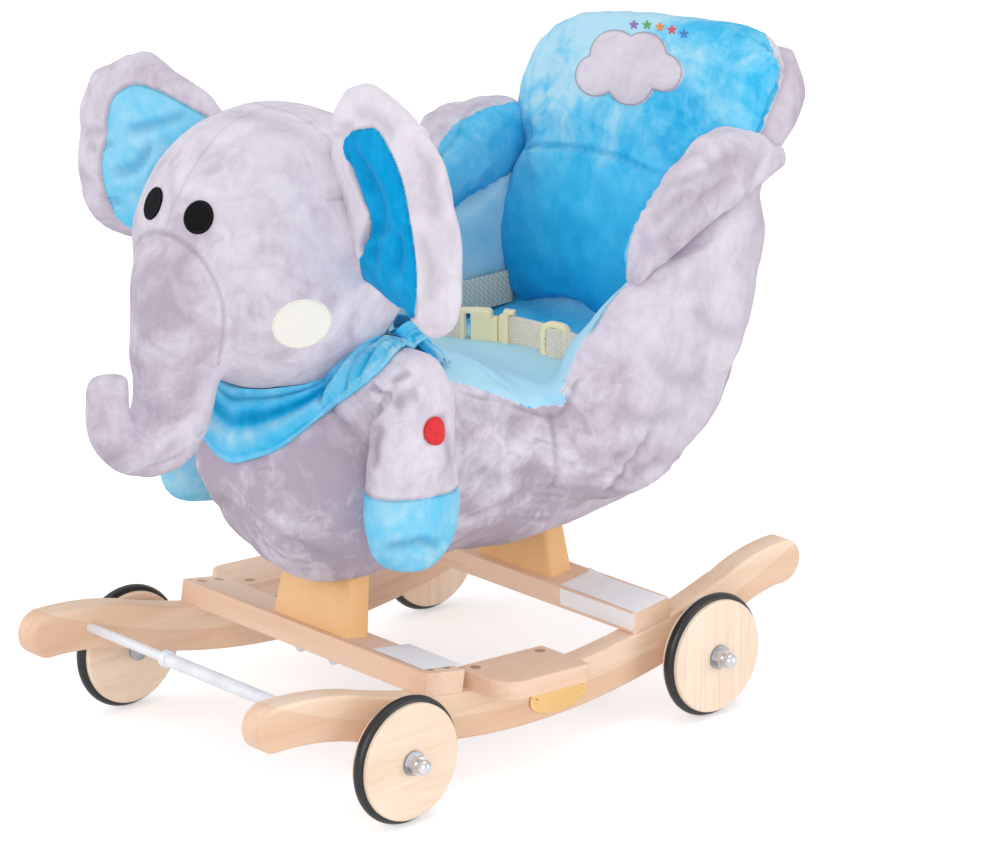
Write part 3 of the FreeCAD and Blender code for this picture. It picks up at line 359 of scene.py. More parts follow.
class Paint:
    """One material and the nodes that make it."""

    def __init__(self, name, roughness=0.8, metallic=0.0, **fixed):
        self.material = bpy.data.materials.new(name)
        self.material.use_nodes = True
        self.nodes = self.material.node_tree.nodes
        self.links = self.material.node_tree.links
        self.shader = self.nodes["Principled BSDF"]
        self.shader.inputs["Roughness"].default_value = roughness
        self.shader.inputs["Metallic"].default_value = metallic
        for key, value in fixed.items():
            self.shader.inputs[key.replace("_", " ")].default_value = value

    def add(self, kind, **given):
        node = self.nodes.new(kind)
        for key, value in given.items():
            setattr(node, key, value)
        return node

    def put(self, value, socket):
        if isinstance(value, (int, float)):
            socket.default_value = value
        elif isinstance(value, tuple):
            socket.default_value = (*value, 1.0)[:len(socket.default_value)]
        else:
            self.links.new(value, socket)

    def place(self, stretch=(1, 1, 1), turn=(0, 0, 0)):
        """Places on the object, stretched and turned."""
        spot = self.add("ShaderNodeTexCoord").outputs["Object"]
        mapping = self.add("ShaderNodeMapping")
        mapping.inputs["Scale"].default_value = stretch
        mapping.inputs["Rotation"].default_value = turn
        self.links.new(spot, mapping.inputs["Vector"])
        return mapping.outputs["Vector"]

    def noise(self, where, scale, detail=3.0, rough=0.55, bend=0.0):
        node = self.add("ShaderNodeTexNoise")
        self.links.new(where, node.inputs["Vector"])
        node.inputs["Scale"].default_value = scale
        node.inputs["Detail"].default_value = detail
        node.inputs["Roughness"].default_value = rough
        node.inputs["Distortion"].default_value = bend
        return node.outputs["Fac"]

    def sum(self, a, b, work="ADD", clamp=False):
        node = self.add("ShaderNodeMath", operation=work, use_clamp=clamp)
        self.put(a, node.inputs[0])
        self.put(b, node.inputs[1])
        return node.outputs[0]

    def span(self, value, low, high, new_low=0.0, new_high=1.0):
        node = self.add("ShaderNodeMapRange")
        self.put(value, node.inputs["Value"])
        for key, number in (("From Min", low), ("From Max", high), ("To Min", new_low), ("To Max", new_high)):
            node.inputs[key].default_value = number
        return node.outputs["Result"]

    def mix(self, share, a, b, kind="MIX"):
        node = self.add("ShaderNodeMix", data_type="RGBA", blend_type=kind)
        self.put(share, node.inputs[0])
        self.put(a, node.inputs[6])
        self.put(b, node.inputs[7])
        return node.outputs[2]

    def held(self, name):
        node = self.add("ShaderNodeAttribute", attribute_name=name)
        return node.outputs["Fac"]

    def bump(self, height, strength, depth, after=None):
        node = self.add("ShaderNodeBump")
        node.inputs["Strength"].default_value = strength
        node.inputs["Distance"].default_value = depth * MM
        self.put(height, node.inputs["Height"])
        if after:
            self.links.new(after, node.inputs["Normal"])
        return node.outputs["Normal"]

    def finish(self, colour, normal=None, roughness=None):
        self.put(colour, self.shader.inputs["Base Color"])
        if normal:
            self.links.new(normal, self.shader.inputs["Normal"])
        if roughness is not None:
            self.put(roughness, self.shader.inputs["Roughness"])
        return self.material


def rgb(red, green, blue):
    """A colour as it is seen, from 0 to 255, made linear."""
    return tuple((c / 255 / 12.92) if c < 10.3 else ((c / 255 + 0.055) / 1.055) ** 2.4 for c in (red, green, blue))


# Colour ramps of the pile. A place on each is picked by the pile's own patches of tone together with painted light and
# shade; BLUE's low end is the pile's colour in painted shade, its high end its colour in painted light and sheen.
GREY = ((0.0, rgb(176, 163, 178)), (0.3, rgb(200, 190, 204)), (0.6, rgb(217, 210, 221)), (1.0, rgb(230, 226, 234)))
BLUE = ((0.0, rgb(0, 138, 198)), (0.22, rgb(4, 160, 220)), (0.5, rgb(64, 190, 236)), (0.78, rgb(132, 208, 240)),
        (1.0, rgb(184, 222, 238)))


def plush(name, main, other=None):
    """Short velvet pile: patches of brushed nap, a fine fibre bump, and painted shade in seams, creases and folds.
    The second colours cover where the stored lining number is above zero. The stored number of nap and painted
    light makes the pile paler or deeper: it carries the pile's own patches, and also painted shade and painted
    sheen set place by place; pile that faces upward is painted paler, as lit from above."""
    paint = Paint(name, 0.95, Sheen_Weight=0.06, Sheen_Roughness=0.4, Specular_IOR_Level=0.05)
    where = paint.place()
    cloud = paint.noise(where, 13, 5, 0.62, 1.0)
    patches = paint.noise(where, 38, 3, 0.6, 1.6)
    strokes = paint.noise(paint.place((1, 1, 0.4), (0.4, 0.3, 0)), 90, 3, 0.6, 1.0)
    upward = paint.add("ShaderNodeSeparateXYZ")
    paint.links.new(paint.add("ShaderNodeNewGeometry").outputs["Normal"], upward.inputs[0])
    # Painted light: pile that faces upward is made paler, as lit from above.
    lit = paint.span(upward.outputs["Z"], -0.8, 0.9, 0.42, 0.58)
    nap_and_painted_light = paint.sum(paint.span(cloud, 0.35, 0.65, -0.2, 0.2), paint.span(patches, 0.35, 0.65, -0.1, 0.1))
    nap_and_painted_light = paint.sum(paint.sum(nap_and_painted_light, paint.span(strokes, 0.3, 0.7, -0.06, 0.06)),
                    paint.sum(paint.held("brushed"), 0.75), "MULTIPLY")
    nap_and_painted_light = paint.sum(paint.sum(nap_and_painted_light, paint.held("nap_and_painted_light")), lit, "ADD", True)
    fibre = paint.noise(where, 1300, 2, 0.7)
    speck = paint.span(fibre, 0.3, 0.7, 0.94, 1.04)
    # Painted shade of seams, creases and folds, read per vertex; shades() darkens the colour with it.
    painted_shade = paint.sum(paint.held("painted_shade"), 0.75, "MULTIPLY", True)

    def shades(colours):
        ramp = paint.add("ShaderNodeValToRGB")
        paint.links.new(nap_and_painted_light, ramp.inputs["Fac"])
        ramp.color_ramp.interpolation = "B_SPLINE"
        while len(ramp.color_ramp.elements) < len(colours):
            ramp.color_ramp.elements.new(0.5)
        for element, (place, colour) in zip(ramp.color_ramp.elements, colours):
            element.position = place
            element.color = (*colour, 1)
        low = tuple(c * 0.55 for c in colours[0][1])
        return paint.mix(painted_shade, ramp.outputs["Color"], low)

    colour = shades(main)
    if other:
        edge = paint.sum(paint.held("lining"), paint.span(paint.noise(where, 900, 1), 0.3, 0.7, -0.25, 0.25))
        colour = paint.mix(paint.span(edge, -0.2, 0.2), colour, shades(other))
    grain = paint.add("ShaderNodeCombineColor")
    for socket in grain.inputs[:3]:
        paint.put(speck, socket)
    colour = paint.mix(1.0, colour, grain.outputs[0], "MULTIPLY")
    tufts = paint.noise(where, 420, 3, 0.7, 0.6)
    normal = paint.bump(tufts, 0.35, 0.9)
    normal = paint.bump(fibre, 0.3, 0.4, normal)
    return paint.finish(colour, normal)


def wood(name, pale, deep, line, grain=(1, 0.03, 1), ring=30.0, turn=(0, 0, 0), gloss=0.45, marks=0.3,
         lower=None):
    """Sanded wood: long bands, fine lines and a few flecks along the grain. The lower colour, where given, is that
    of a rocker's second lamination, whose joint follows the bend."""
    paint = Paint(name, gloss, Specular_IOR_Level=0.35)
    where = paint.place(grain, turn)
    bands = paint.noise(where, ring, 3, 0.5, 0.7)
    fine = paint.noise(where, ring * 6, 4, 0.65, 0.3)
    flecks = paint.noise(where, ring * 22, 2, 0.6)
    cloud = paint.noise(paint.place(), 9, 2, 0.5)
    colour = paint.mix(paint.span(bands, 0.38, 0.64), pale, deep)
    colour = paint.mix(paint.span(fine, 0.5, 0.75, 0, marks), colour, line)
    colour = paint.mix(paint.span(flecks, 0.62, 0.74, 0, marks * 0.7), colour, line)
    colour = paint.mix(paint.span(cloud, 0.4, 0.65, 0, 0.25), colour, deep)
    if lower:
        spot = paint.add("ShaderNodeSeparateXYZ")
        paint.links.new(paint.place(), spot.inputs[0])
        run = paint.sum(spot.outputs["Y"], -0.0125)
        joint = paint.sum(paint.sum(paint.sum(run, run, "MULTIPLY"), 1 / 1.12, "MULTIPLY"), 0.0445)
        under = paint.span(paint.sum(joint, spot.outputs["Z"], "SUBTRACT"), -0.0003, 0.0003)
        colour = paint.mix(paint.sum(under, 0.85, "MULTIPLY"), colour, lower, "MULTIPLY")
    normal = paint.bump(fine, 0.2, 0.25)
    normal = paint.bump(flecks, 0.15, 0.15, normal)
    return paint.finish(colour, normal, paint.span(bands, 0.3, 0.7, gloss - 0.06, gloss + 0.1))


def plain(name, colour, other, roughness, metallic=0.0, scale=60.0, grit=0.15, **fixed):
    """Moulded, painted or turned surface with faint variation and handling marks."""
    paint = Paint(name, roughness, metallic, **fixed)
    where = paint.place()
    soft = paint.noise(where, scale, 3, 0.6)
    fine = paint.noise(where, scale * 14, 2, 0.6)
    normal = paint.bump(fine, grit, 0.15)
    return paint.finish(paint.mix(paint.span(soft, 0.35, 0.65), colour, other), normal,
                        paint.span(soft, 0.3, 0.7, max(roughness - 0.06, 0.03), roughness + 0.08))


grey_plush = plush("grey_plush", GREY)
blue_plush = plush("blue_plush", BLUE)
lined_plush = plush("grey_and_blue_plush", GREY, BLUE)
PINE = (rgb(246, 222, 198), rgb(236, 203, 173), rgb(206, 160, 124))
ROSY = (rgb(243, 212, 188), rgb(233, 196, 168), rgb(202, 156, 122))
beech = wood("beech_rocker", *PINE, grain=(1, 0.03, 1), lower=(0.93, 0.84, 0.8))
beech_foot = wood("beech_footrest", *ROSY, grain=(1, 0.03, 1))
beech_across = wood("beech_board", *ROSY, grain=(0.03, 1, 1))
wheel_pale, wheel_deep = rgb(249, 228, 206), rgb(240, 213, 187)
beech_disc = wood("beech_wheel", wheel_pale, wheel_deep, rgb(208, 168, 134), grain=(1, 0.05, 1), ring=30,
                  turn=(0.3, 0, 0), marks=0.35)
beech_rear = wood("beech_rear_wheel", wheel_pale, wheel_deep, rgb(208, 168, 134), grain=(1, 1, 0.05), ring=30,
                  turn=(0.12, 0, 0), marks=0.35)
tan_post = wood("post_board", rgb(240, 195, 142), rgb(233, 184, 128), rgb(218, 166, 108),
                grain=(1, 1, 0.2), ring=16, gloss=0.55, marks=0.12)
ply = wood("plywood", *PINE, grain=(1, 0.05, 1))
rubber = plain("tyre_rubber", rgb(14, 14, 16), rgb(22, 22, 24), 0.34, grit=0.15, scale=90)
chrome = plain("chrome", rgb(214, 214, 218), rgb(196, 196, 200), 0.16, 1.0, grit=0.03)
zinc = plain("zinc_steel", rgb(178, 180, 184), rgb(148, 150, 156), 0.38, 1.0, grit=0.1)
bronze = plain("board_screw_steel", rgb(198, 166, 134), rgb(176, 142, 110), 0.5, 0.5, grit=0.1)
brass = plain("brass", rgb(232, 196, 140), rgb(222, 182, 122), 0.36, 0.85, scale=25, grit=0.05)
white_paint = plain("white_paint", rgb(236, 236, 240), rgb(228, 229, 234), 0.35, scale=30, grit=0.04)
white_plastic = plain("white_plastic", rgb(236, 237, 242), rgb(222, 223, 230), 0.42, grit=0.06)
case_plastic = plain("case_plastic", rgb(70, 70, 74), rgb(60, 60, 64), 0.5)
cream_plastic = plain("buckle_plastic", rgb(255, 238, 196), rgb(254, 234, 186), 0.3, scale=40, grit=0.05)
black_felt = plain("black_patch", rgb(12, 11, 14), rgb(20, 19, 23), 0.95, scale=500, grit=0.5,
                   Specular_IOR_Level=0.15)
cream_felt = plain("cream_patch", rgb(243, 240, 232), rgb(238, 235, 226), 0.95, scale=420, grit=0.45)
red_cloth = plain("red_button", rgb(222, 40, 44), rgb(206, 28, 36), 0.8, scale=400, grit=0.5, Sheen_Weight=0.1)
thread_white = plain("white_thread", rgb(232, 236, 240), rgb(214, 222, 230), 0.8)
paper = plain("blank_paper", rgb(250, 250, 252), rgb(244, 245, 248), 0.6, scale=60, grit=0.05)


def webbing():
    """Woven tape: slanting ribs that change side every few millimetres, as in a herringbone."""
    paint = Paint("webbing", 0.85, Sheen_Weight=0.1)
    spot = paint.add("ShaderNodeSeparateXYZ")
    paint.links.new(paint.place(), spot.inputs[0])
    run = paint.sum(spot.outputs["X"], paint.sum(spot.outputs["Y"], 0.55, "MULTIPLY"))
    zigzag = paint.sum(spot.outputs["Z"], 0.0021, "PINGPONG")
    slant = paint.sum(run, paint.sum(zigzag, 0.9, "MULTIPLY"))
    rib = paint.sum(paint.sum(slant, 2 * math.pi / 0.0025, "MULTIPLY"), 0.0, "SINE")
    cross = paint.sum(paint.sum(spot.outputs["Z"], 2 * math.pi / 0.0022, "MULTIPLY"), 0.0, "SINE")
    fine = paint.noise(paint.place(), 1500, 2)
    rib = paint.sum(paint.sum(rib, paint.sum(cross, 0.35, "MULTIPLY")), paint.span(fine, 0.3, 0.7, -0.3, 0.3))
    colour = paint.mix(paint.span(rib, -1.0, 0.7), rgb(222, 200, 172), rgb(252, 240, 224))
    return paint.finish(colour, paint.bump(rib, 0.5, 0.4))


web = webbing()

for node, finish in {
        "left_rocker": beech, "right_rocker": beech, "front_cross_board": beech_across,
        "rear_cross_board": beech_across, "left_footrest": beech_foot, "right_footrest": beech_foot,
        "front_post": tan_post, "rear_post": tan_post, "seat_base_board": ply, "back_board": ply,
        "front_left_wheel": beech_disc, "front_right_wheel": beech_disc, "rear_left_wheel": beech_rear,
        "rear_right_wheel": beech_rear, "front_left_tyre": rubber, "front_right_tyre": rubber,
        "rear_left_tyre": rubber, "rear_right_tyre": rubber, "stretcher_rod": white_paint,
        "stretcher_sleeve": white_plastic, "board_screws": bronze, "post_bolts": zinc, "post_cap_nuts": chrome,
        "axle_plates": zinc, "axle_plate_screws": zinc, "axle_studs": zinc, "wheel_spacers": white_plastic,
        "wheel_washers": zinc, "wheel_cap_nuts": chrome, "oval_plate": brass, "plate_pins": brass,
        "sound_button": red_cloth, "sound_box": case_plastic}.items():
    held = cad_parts[node]
    held.data.materials.clear()
    held.data.materials.append(finish)


# Stuffed pieces, blown up as cloth over the solids

SHOULDERS = [((side * 80, -90, 278), (33, 42, 36)) for side in (1, -1)]
SLEEVE = (((-101, -101, 292), (27, 32, 22)),)
body = skin("body_cover", ["chest", "seat_base", "seat_cushion", "left_side_wall", "right_side_wall",
                           "back_shell"], 4.2, 0.9, 12, SHOULDERS)
wings = {side: skin(side + "_wing_cover", [side + "_wing"], 3.2, 0.6, 5) for side in ("left", "right")}
rest = skin("backrest_cover", ["back_cushion", "headrest"], 3.8, 1.2, 10)
head = skin("head_cover", ["head", "trunk"], 3.6, 0.5, 10)
ears = {side: skin(side + "_ear_cover", [side + "_ear"], 2.8, 0.2, 5) for side in ("left", "right")}
arms = {side: skin(side + "_arm_cover", ["right_arm", "right_paw"], 3.0, 0.4, 6, SLEEVE) for side in ("left",
                                                                                                      "right")}
spots, ways = points_of(arms["left"])
arms["left"].data.flip_normals()
move_to(arms["left"], spots * (-1, 1, 1))
arms["left"]["nodes"] = ["left_arm", "left_paw"]


def relax(piece, share, rounds):
    """Smooth a piece where the share, from 0 to 1 for each vertex, is high."""
    edges = np.empty(len(piece.data.edges) * 2, int)
    piece.data.edges.foreach_get("vertices", edges)
    a, b = edges.reshape(-1, 2).T
    spots = points_of(piece)[0]
    count = np.bincount(np.concatenate([a, b]), minlength=len(spots))[:, None]
    held = (share[a] > 0) | (share[b] > 0)
    a, b = a[held], b[held]
    for step in range(rounds):
        total = np.stack([np.bincount(a, spots[b, i], len(spots)) + np.bincount(b, spots[a, i], len(spots))
                          for i in range(3)], 1)
        spots += np.where(share[:, None] > 0, total / count - spots, 0) * 0.6 * share[:, None]
    move_to(piece, spots)


def near(spots, middle, size):
    """A soft share, 1 at a middle and nothing beyond its size each way."""
    far = np.linalg.norm((spots - middle) / size, axis=1)
    return np.clip(1.3 - far, 0, 1) ** 1.5


# The side walls run into the belly, and the shoulders into the chest
spots, ways = points_of(body)
mirror = spots.copy()
mirror[:, 0] = abs(spots[:, 0])
share = np.maximum(near(mirror, (104, 38, 205), (42, 46, 70)), near(mirror, (95, -60, 275), (40, 60, 45)))
relax(body, np.clip(share * 1.5, 0, 1), 45)
spots, ways = points_of(head)
relax(head, near(spots, (0, -212, 352), (75, 40, 62)), 22)
spots, ways = points_of(rest)
relax(rest, np.clip(1 - abs(spots[:, 2] - 376 - 0.09 * spots[:, 0]) / 26, 0, 1), 24)
spots, ways = points_of(rest)
high = np.clip((spots[:, 2] - 410) / 80, 0, 1)
corner = np.clip((-spots[:, 0] - 40) / 70, 0, 1)
spots[:, 2] += high * 1.5 - high * corner * 4
move_to(rest, spots)
spots, ways = points_of(body)
high = np.clip((spots[:, 2] - 405) / 45, 0, 1) * np.clip((spots[:, 1] - 170) / 40, 0, 1)
move_to(body, spots - np.array((0, -0.2, 1)) * (high * 6)[:, None])


# The ears take the outlines in the photograph, drawn on the leaf that they stand in
EAR_EDGE = {
    "left": [(331, 128), (334, 108), (345, 93), (364, 86), (387, 97), (414, 119), (430, 148), (440, 186),
             (449, 233), (453, 274), (453, 315), (442, 333), (430, 335), (412, 317), (395, 303), (370, 278)],
    "right": [(215, 99), (185, 75), (163, 59), (144, 52), (123, 56), (104, 67), (92, 75), (88, 93), (82, 108),
              (84, 133), (83, 155), (84, 177), (89, 202), (100, 219), (119, 232), (140, 240)],
}


def on_leaf(pixels, side):
    """Where the photograph's points fall on the ear's leaf: outwards and upwards from its root."""
    sign = 1 if side == "left" else -1
    turn = math.radians(10)
    out = np.array((sign * math.cos(turn), -math.sin(turn), 0))
    face = np.array((sign * math.sin(turn), math.cos(turn), 0))
    root = np.array((sign * 70, -117.5, 0))
    found = []
    for pixel in pixels:
        way = ray(pixel)
        spot = EYE + way * (((root - EYE) @ face) / (way @ face))
        found.append(((spot - root) @ out, spot[2]))
    return np.array(found), out, face, root


def reach(outline, middle, turns):
    """How far an outline is from a middle point in each direction."""
    outline = np.vstack([outline, outline[:1]]) - middle
    found = np.zeros(len(turns))
    for i, turn in enumerate(turns):
        way = np.array((math.cos(turn), math.sin(turn)))
        for a, b in zip(outline[:-1], outline[1:]):
            side = b - a
            cross = way[0] * side[1] - way[1] * side[0]
            if abs(cross) < 1e-9:
                continue
            far = (a[0] * side[1] - a[1] * side[0]) / cross
            share = (a[0] * way[1] - a[1] * way[0]) / cross
            if far > 0 and -1e-6 <= share <= 1 + 1e-6:
                found[i] = max(found[i], far)
    return found


for side, edge in EAR_EDGE.items():
    pixel_line, out, face, root = on_leaf(edge, side)
    flat_line = np.column_stack([pixel_line, np.zeros(len(pixel_line))])
    wanted = np.array(smooth_line(flat_line, 3.0))[:, :2]
    spots, ways = points_of(ears[side])
    flat = np.column_stack([(spots - root) @ out, spots[:, 2]])
    middle = np.array((52.0, (flat[:, 1].max() + flat[:, 1].min()) / 2))
    turns = np.radians(np.arange(-180, 181, 3))
    angle = np.arctan2(*(flat - middle).T[::-1])
    far = np.linalg.norm(flat - middle, axis=1)
    old = np.array([far[abs((angle - t + math.pi) % (2 * math.pi) - math.pi) < 0.06].max() for t in turns])
    closed = np.vstack([wanted, [(-25.0, wanted[-1][1] + 6), (-25.0, wanted[0][1] - 6)]])
    target = reach(closed, middle, turns)
    free = np.clip((math.cos(0.9) + np.cos(turns)) * 2.5, 0, 1)
    grow = 1 + (np.clip(target / old, 0.75, 1.3) - 1) * free
    grow = np.convolve(np.concatenate([grow[-3:], grow, grow[:3]]), np.ones(3) / 3, "same")[3:-3]
    scale = np.interp(angle, turns, grow)
    moved = middle + (flat - middle) * scale[:, None]
    shift = moved - flat
    move_to(ears[side], spots + shift[:, :1] * out + shift[:, 1:] * np.array((0, 0, 1)))

puff([(body, 5, 3, 0.02), (wings["left"], 7, 4, 0.05), (wings["right"], 7, 4, 0.05), (rest, 6, 3, 0.03),
      (head, 3, 3, 0.01), (ears["left"], 4, 2.5, 0.05), (ears["right"], 4, 2.5, 0.05),
      (arms["left"], 4, 3, 0.04), (arms["right"], 4, 3, 0.04)])

# Outlines that the photograph shows a few millimetres away from the solids: a piece, how far a pull reaches, and
# rows of a point that moves and the point where it goes
OUTLINES = (
    (body, 24, ((200, 470, 200, 470), (210, 500, 216, 497), (222, 520, 230, 515), (245, 548, 254, 542),
                (275, 570, 278, 567), (310, 580, 310, 580))),
    (body, 26, ((780, 150, 776, 152), (771, 190, 761, 193), (768, 225, 765, 227), (763, 270, 758, 269),
                (755, 320, 750, 317), (735, 370, 730, 367), (700, 430, 695, 426), (660, 478, 656, 472),
                (600, 503, 598, 496), (570, 517, 569, 510), (540, 528, 540, 526))),
    (body, 22, ((700, 25, 704, 27), (755, 44, 766, 38), (775, 60, 789, 52), (788, 95, 798, 95),
                (785, 130, 791, 133), (780, 150, 780, 152))),
    (rest, 20, ((700, 24, 704, 22), (765, 40, 772, 41), (784, 60, 793, 62), (788, 95, 796, 97),
                (784, 130, 790, 133), (775, 160, 776, 160))),
    (rest, 20, ((510, 150, 510, 150), (515, 120, 518, 124), (522, 90, 531, 96), (531, 60, 540, 65),
                (545, 36, 553, 42), (565, 20, 570, 22), (600, 14, 600, 12), (650, 17, 650, 13))),
    (head, 20, ((150, 470, 150, 467), (135, 478, 136, 473), (105, 462, 107, 459), (88, 430, 91, 429),
                (86, 405, 89, 405), (93, 384, 93, 378), (108, 380, 108, 373), (124, 390, 127, 382),
                (130, 410, 131, 404))),
    (head, 18, ((129, 385, 131, 381), (128, 365, 132, 362), (129, 340, 134, 340), (131, 300, 135, 300),
                (134, 260, 136, 260))),
    (ears["left"], 14, ((366, 90, 364, 87), (352, 98, 347, 91), (342, 112, 334, 109), (338, 130, 333, 128))),
    (ears["right"], 16, ((150, 53, 150, 53), (168, 57, 167, 61), (190, 70, 187, 76), (208, 85, 204, 91),
                         (219, 103, 218, 106))),
    (wings["left"], 20, ((636, 280, 634, 288), (629, 262, 636, 262), (631, 235, 640, 235), (638, 205, 650, 207),
                         (648, 178, 660, 184), (668, 153, 677, 163), (700, 136, 704, 138), (740, 130, 740, 130))),
    (wings["right"], 20, ((424, 150, 419, 138), (436, 132, 428, 119), (452, 116, 448, 106), (475, 102, 475, 99),
                          (500, 99, 500, 100), (520, 105, 520, 109))),
    (arms["right"], 18, ((165, 465, 165, 465), (172, 482, 170, 487), (190, 491, 190, 499), (213, 491, 214, 500),
                         (225, 485, 226, 490))))

for piece, where, slot, finish in (
        (body, SEAT, "grey_plush", lined_plush), (rest, SEAT, "blue_plush", lined_plush),
        (head, SEAT, "grey_plush", grey_plush),
        (ears["left"], SEAT, "grey_plush", lined_plush), (ears["right"], SEAT, "grey_plush", lined_plush),
        (arms["left"], "left_arm_body", "grey_plush", lined_plush),
        (arms["right"], "right_arm_body", "grey_plush", lined_plush),
        (wings["left"], SEAT, "grey_plush", lined_plush), (wings["right"], SEAT, "grey_plush", lined_plush)):
    finer(piece)
    for moved, radius, rows in OUTLINES:
        if moved is piece:
            pull(piece, [(row[:2], row[2:]) for row in rows], radius)
    tree(piece, True)
    piece.data.materials.clear()
    piece.data.materials.append(finish)
    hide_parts(*piece["nodes"])
    if where == SEAT:
        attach(piece, SEAT)
    tell(piece, "painted_shade", np.zeros(len(piece.data.vertices)))
    tell(piece, "lining", np.full(len(piece.data.vertices), -9.0))


# Seams and folds, taken from the photograph

def drawn(piece, pixels, work, **given):
    """Form a seam or fold where the photograph shows it, and return its line."""
    line = cast(piece, pixels)
    work(piece, line, **given)
    return line


def puckers(piece, line, pitch=7.0, reach_out=9.0, depth=1.0, seed=1):
    """Short gathers that run off a seam, each of its own length."""
    line = smooth_line(line)
    spots, ways = points_of(piece)
    low, high = line.min(0) - 2.5 * reach_out, line.max(0) + 2.5 * reach_out
    inside = np.all((spots > low) & (spots < high), axis=1)
    far, along = away_from(spots[inside], line)
    whole = np.linalg.norm(np.diff(line, axis=0), axis=1).sum()
    run = along * whole
    drift = np.sin(run / 31 + seed) * 1.7 + np.sin(run / 13 + 2.3 * seed) * 1.1
    strength = 0.55 + 0.45 * np.sin(run / 23 + 1.3 * seed) * np.sin(run / 9 + seed)
    wave = np.sin(run * 2 * math.pi / pitch + drift)
    fall = np.exp(-(far / (reach_out * (0.7 + 0.5 * np.sin(run / 17 + seed)))) ** 2)
    ends = np.clip(np.minimum(along, 1 - along) * 8, 0, 1)
    spots[inside] += ways[inside] * (wave * fall * strength * depth * ends)[:, None]
    move_to(piece, spots)


def ripple(piece, size, depth, seed, share=None):
    """Broad soft unevenness, as stuffing shows through cloth."""
    spots, ways = points_of(piece)
    rng = np.random.default_rng(seed)
    wave = np.zeros(len(spots))
    for step in range(14):
        way = rng.normal(size=3)
        way *= 2 * math.pi / (size * rng.uniform(0.6, 1.8)) / np.linalg.norm(way)
        wave += np.sin(spots @ way + rng.uniform(0, 6.3) + 0.8 * np.sin(spots @ np.roll(way, 1)))
    wave *= depth / 3.7
    move_to(piece, spots + ways * (wave * (1 if share is None else share))[:, None])


ripple(body, 46, 0.9, 3)
ripple(head, 60, 0.6, 4)
for number, piece in enumerate((wings["left"], wings["right"], rest, arms["left"], arms["right"])):
    ripple(piece, 34, 0.8, 10 + number)

# Body: the seat's edge, the seam down the side and the folds behind it
EDGE_Y = (-62, -20, 13, 43, 60, 250)
EDGE_Z = (286, 270, 253, 236, 222, 215)
EDGE_X = (92, 97, 101, 105, 110, 110)
spots, ways = points_of(body)
wide = abs(spots[:, 0])
inner = np.minimum(np.interp(spots[:, 1], EDGE_Y, EDGE_X) - wide, spots[:, 2] - np.interp(spots[:, 1], EDGE_Y,
                                                                                          EDGE_Z))
inner = np.minimum(inner, np.minimum(spots[:, 1] + 50, 244 - spots[:, 1]))
outward = ways[:, 0] * np.sign(spots[:, 0])
inner[(spots[:, 1] > 150) & (ways[:, 1] > 0.25) | (ways[:, 2] < -0.1) & (spots[:, 2] < 260)
      | (outward > 0.4) & (spots[:, 2] < 245)] = -9
tell(body, "lining", inner)
for sign in (1, -1):
    rim = [(sign * x, y, z) for x, y, z in ((92, -60, 288), (97, -20, 271), (101, 13, 254), (105, 43, 238),
                                            (109, 58, 262), (110, 78, 292), (110, 106, 318))]
    seam(body, snap(body, rim), 1.8, 1.4, 0.6)
side_seam = [(549, 414), (554, 447), (553, 484), (534, 516), (520, 530)]
belly_seam = cast(body, side_seam)
fold = cast(body, [(656, 425), (617, 481), (573, 511)])
for sign in (1, -1):
    line = snap(body, belly_seam * (sign, 1, 1))
    seam(body, line, 1.9, 1.7, 0.35)
    puckers(body, line, 9, 16, 0.9, 2 + sign)
    line = snap(body, fold * (sign, 1, 1))
    crease(body, line, 3.0, 2.0, 0.6, True, 0.6)
    puckers(body, line, 13, 22, 1.0, 5 + sign)
for pixels, width, depth in (
        ([(457, 520), (500, 507), (540, 480)], 5, 1.6), ([(470, 470), (505, 480), (545, 470)], 6, 1.4),
        ([(600, 400), (640, 420), (690, 410)], 7, 1.6), ([(640, 340), (680, 380), (730, 370)], 8, 1.8),
        ([(600, 450), (640, 470), (668, 455)], 5, 1.6), ([(690, 300), (715, 330), (740, 335)], 6, 1.5),
        ([(240, 500), (290, 540), (350, 560)], 6, 1.5),
        ([(560, 470), (590, 480), (640, 440)], 5, 1.4), ([(460, 400), (500, 420), (540, 424)], 6, 1.3)):
    line = cast(body, pixels)
    for sign in (1, -1):
        crease(body, snap(body, line * (sign, 1, 1)), width, depth, 0.5, True, 0.35)

spots, ways = points_of(body)
belly = np.clip((300 - spots[:, 2]) / 60, 0, 1) * np.clip((120 - spots[:, 1]) / 90, 0, 1)
bias = 0.03 - 0.27 * belly
bias -= 0.2 * np.clip((spots[:, 1] - 200) / 40, 0, 1)
# Painted light and shade on the seat's blue lining: paler where it faces upward, and painted deep blue behind the
# belt, as shade at the foot of the back cushion.
behind = 0.8 * np.clip((spots[:, 1] - 96) / 22, 0, 1) * np.clip((275 - spots[:, 2]) / 25, 0, 1)
bias[inner > 0] = (np.where(ways[:, 2] > 0.6, 0.55, 0.5) - behind)[inner > 0]
tell(body, "nap_and_painted_light", bias)
tell(body, "brushed", np.where(inner > 0, -0.2, 0.2 + 1.0 * belly))

# Backrest: one seam between the headrest and the back cushion, and pleats at the ends
spots, ways = points_of(rest)
flat = seen(spots)
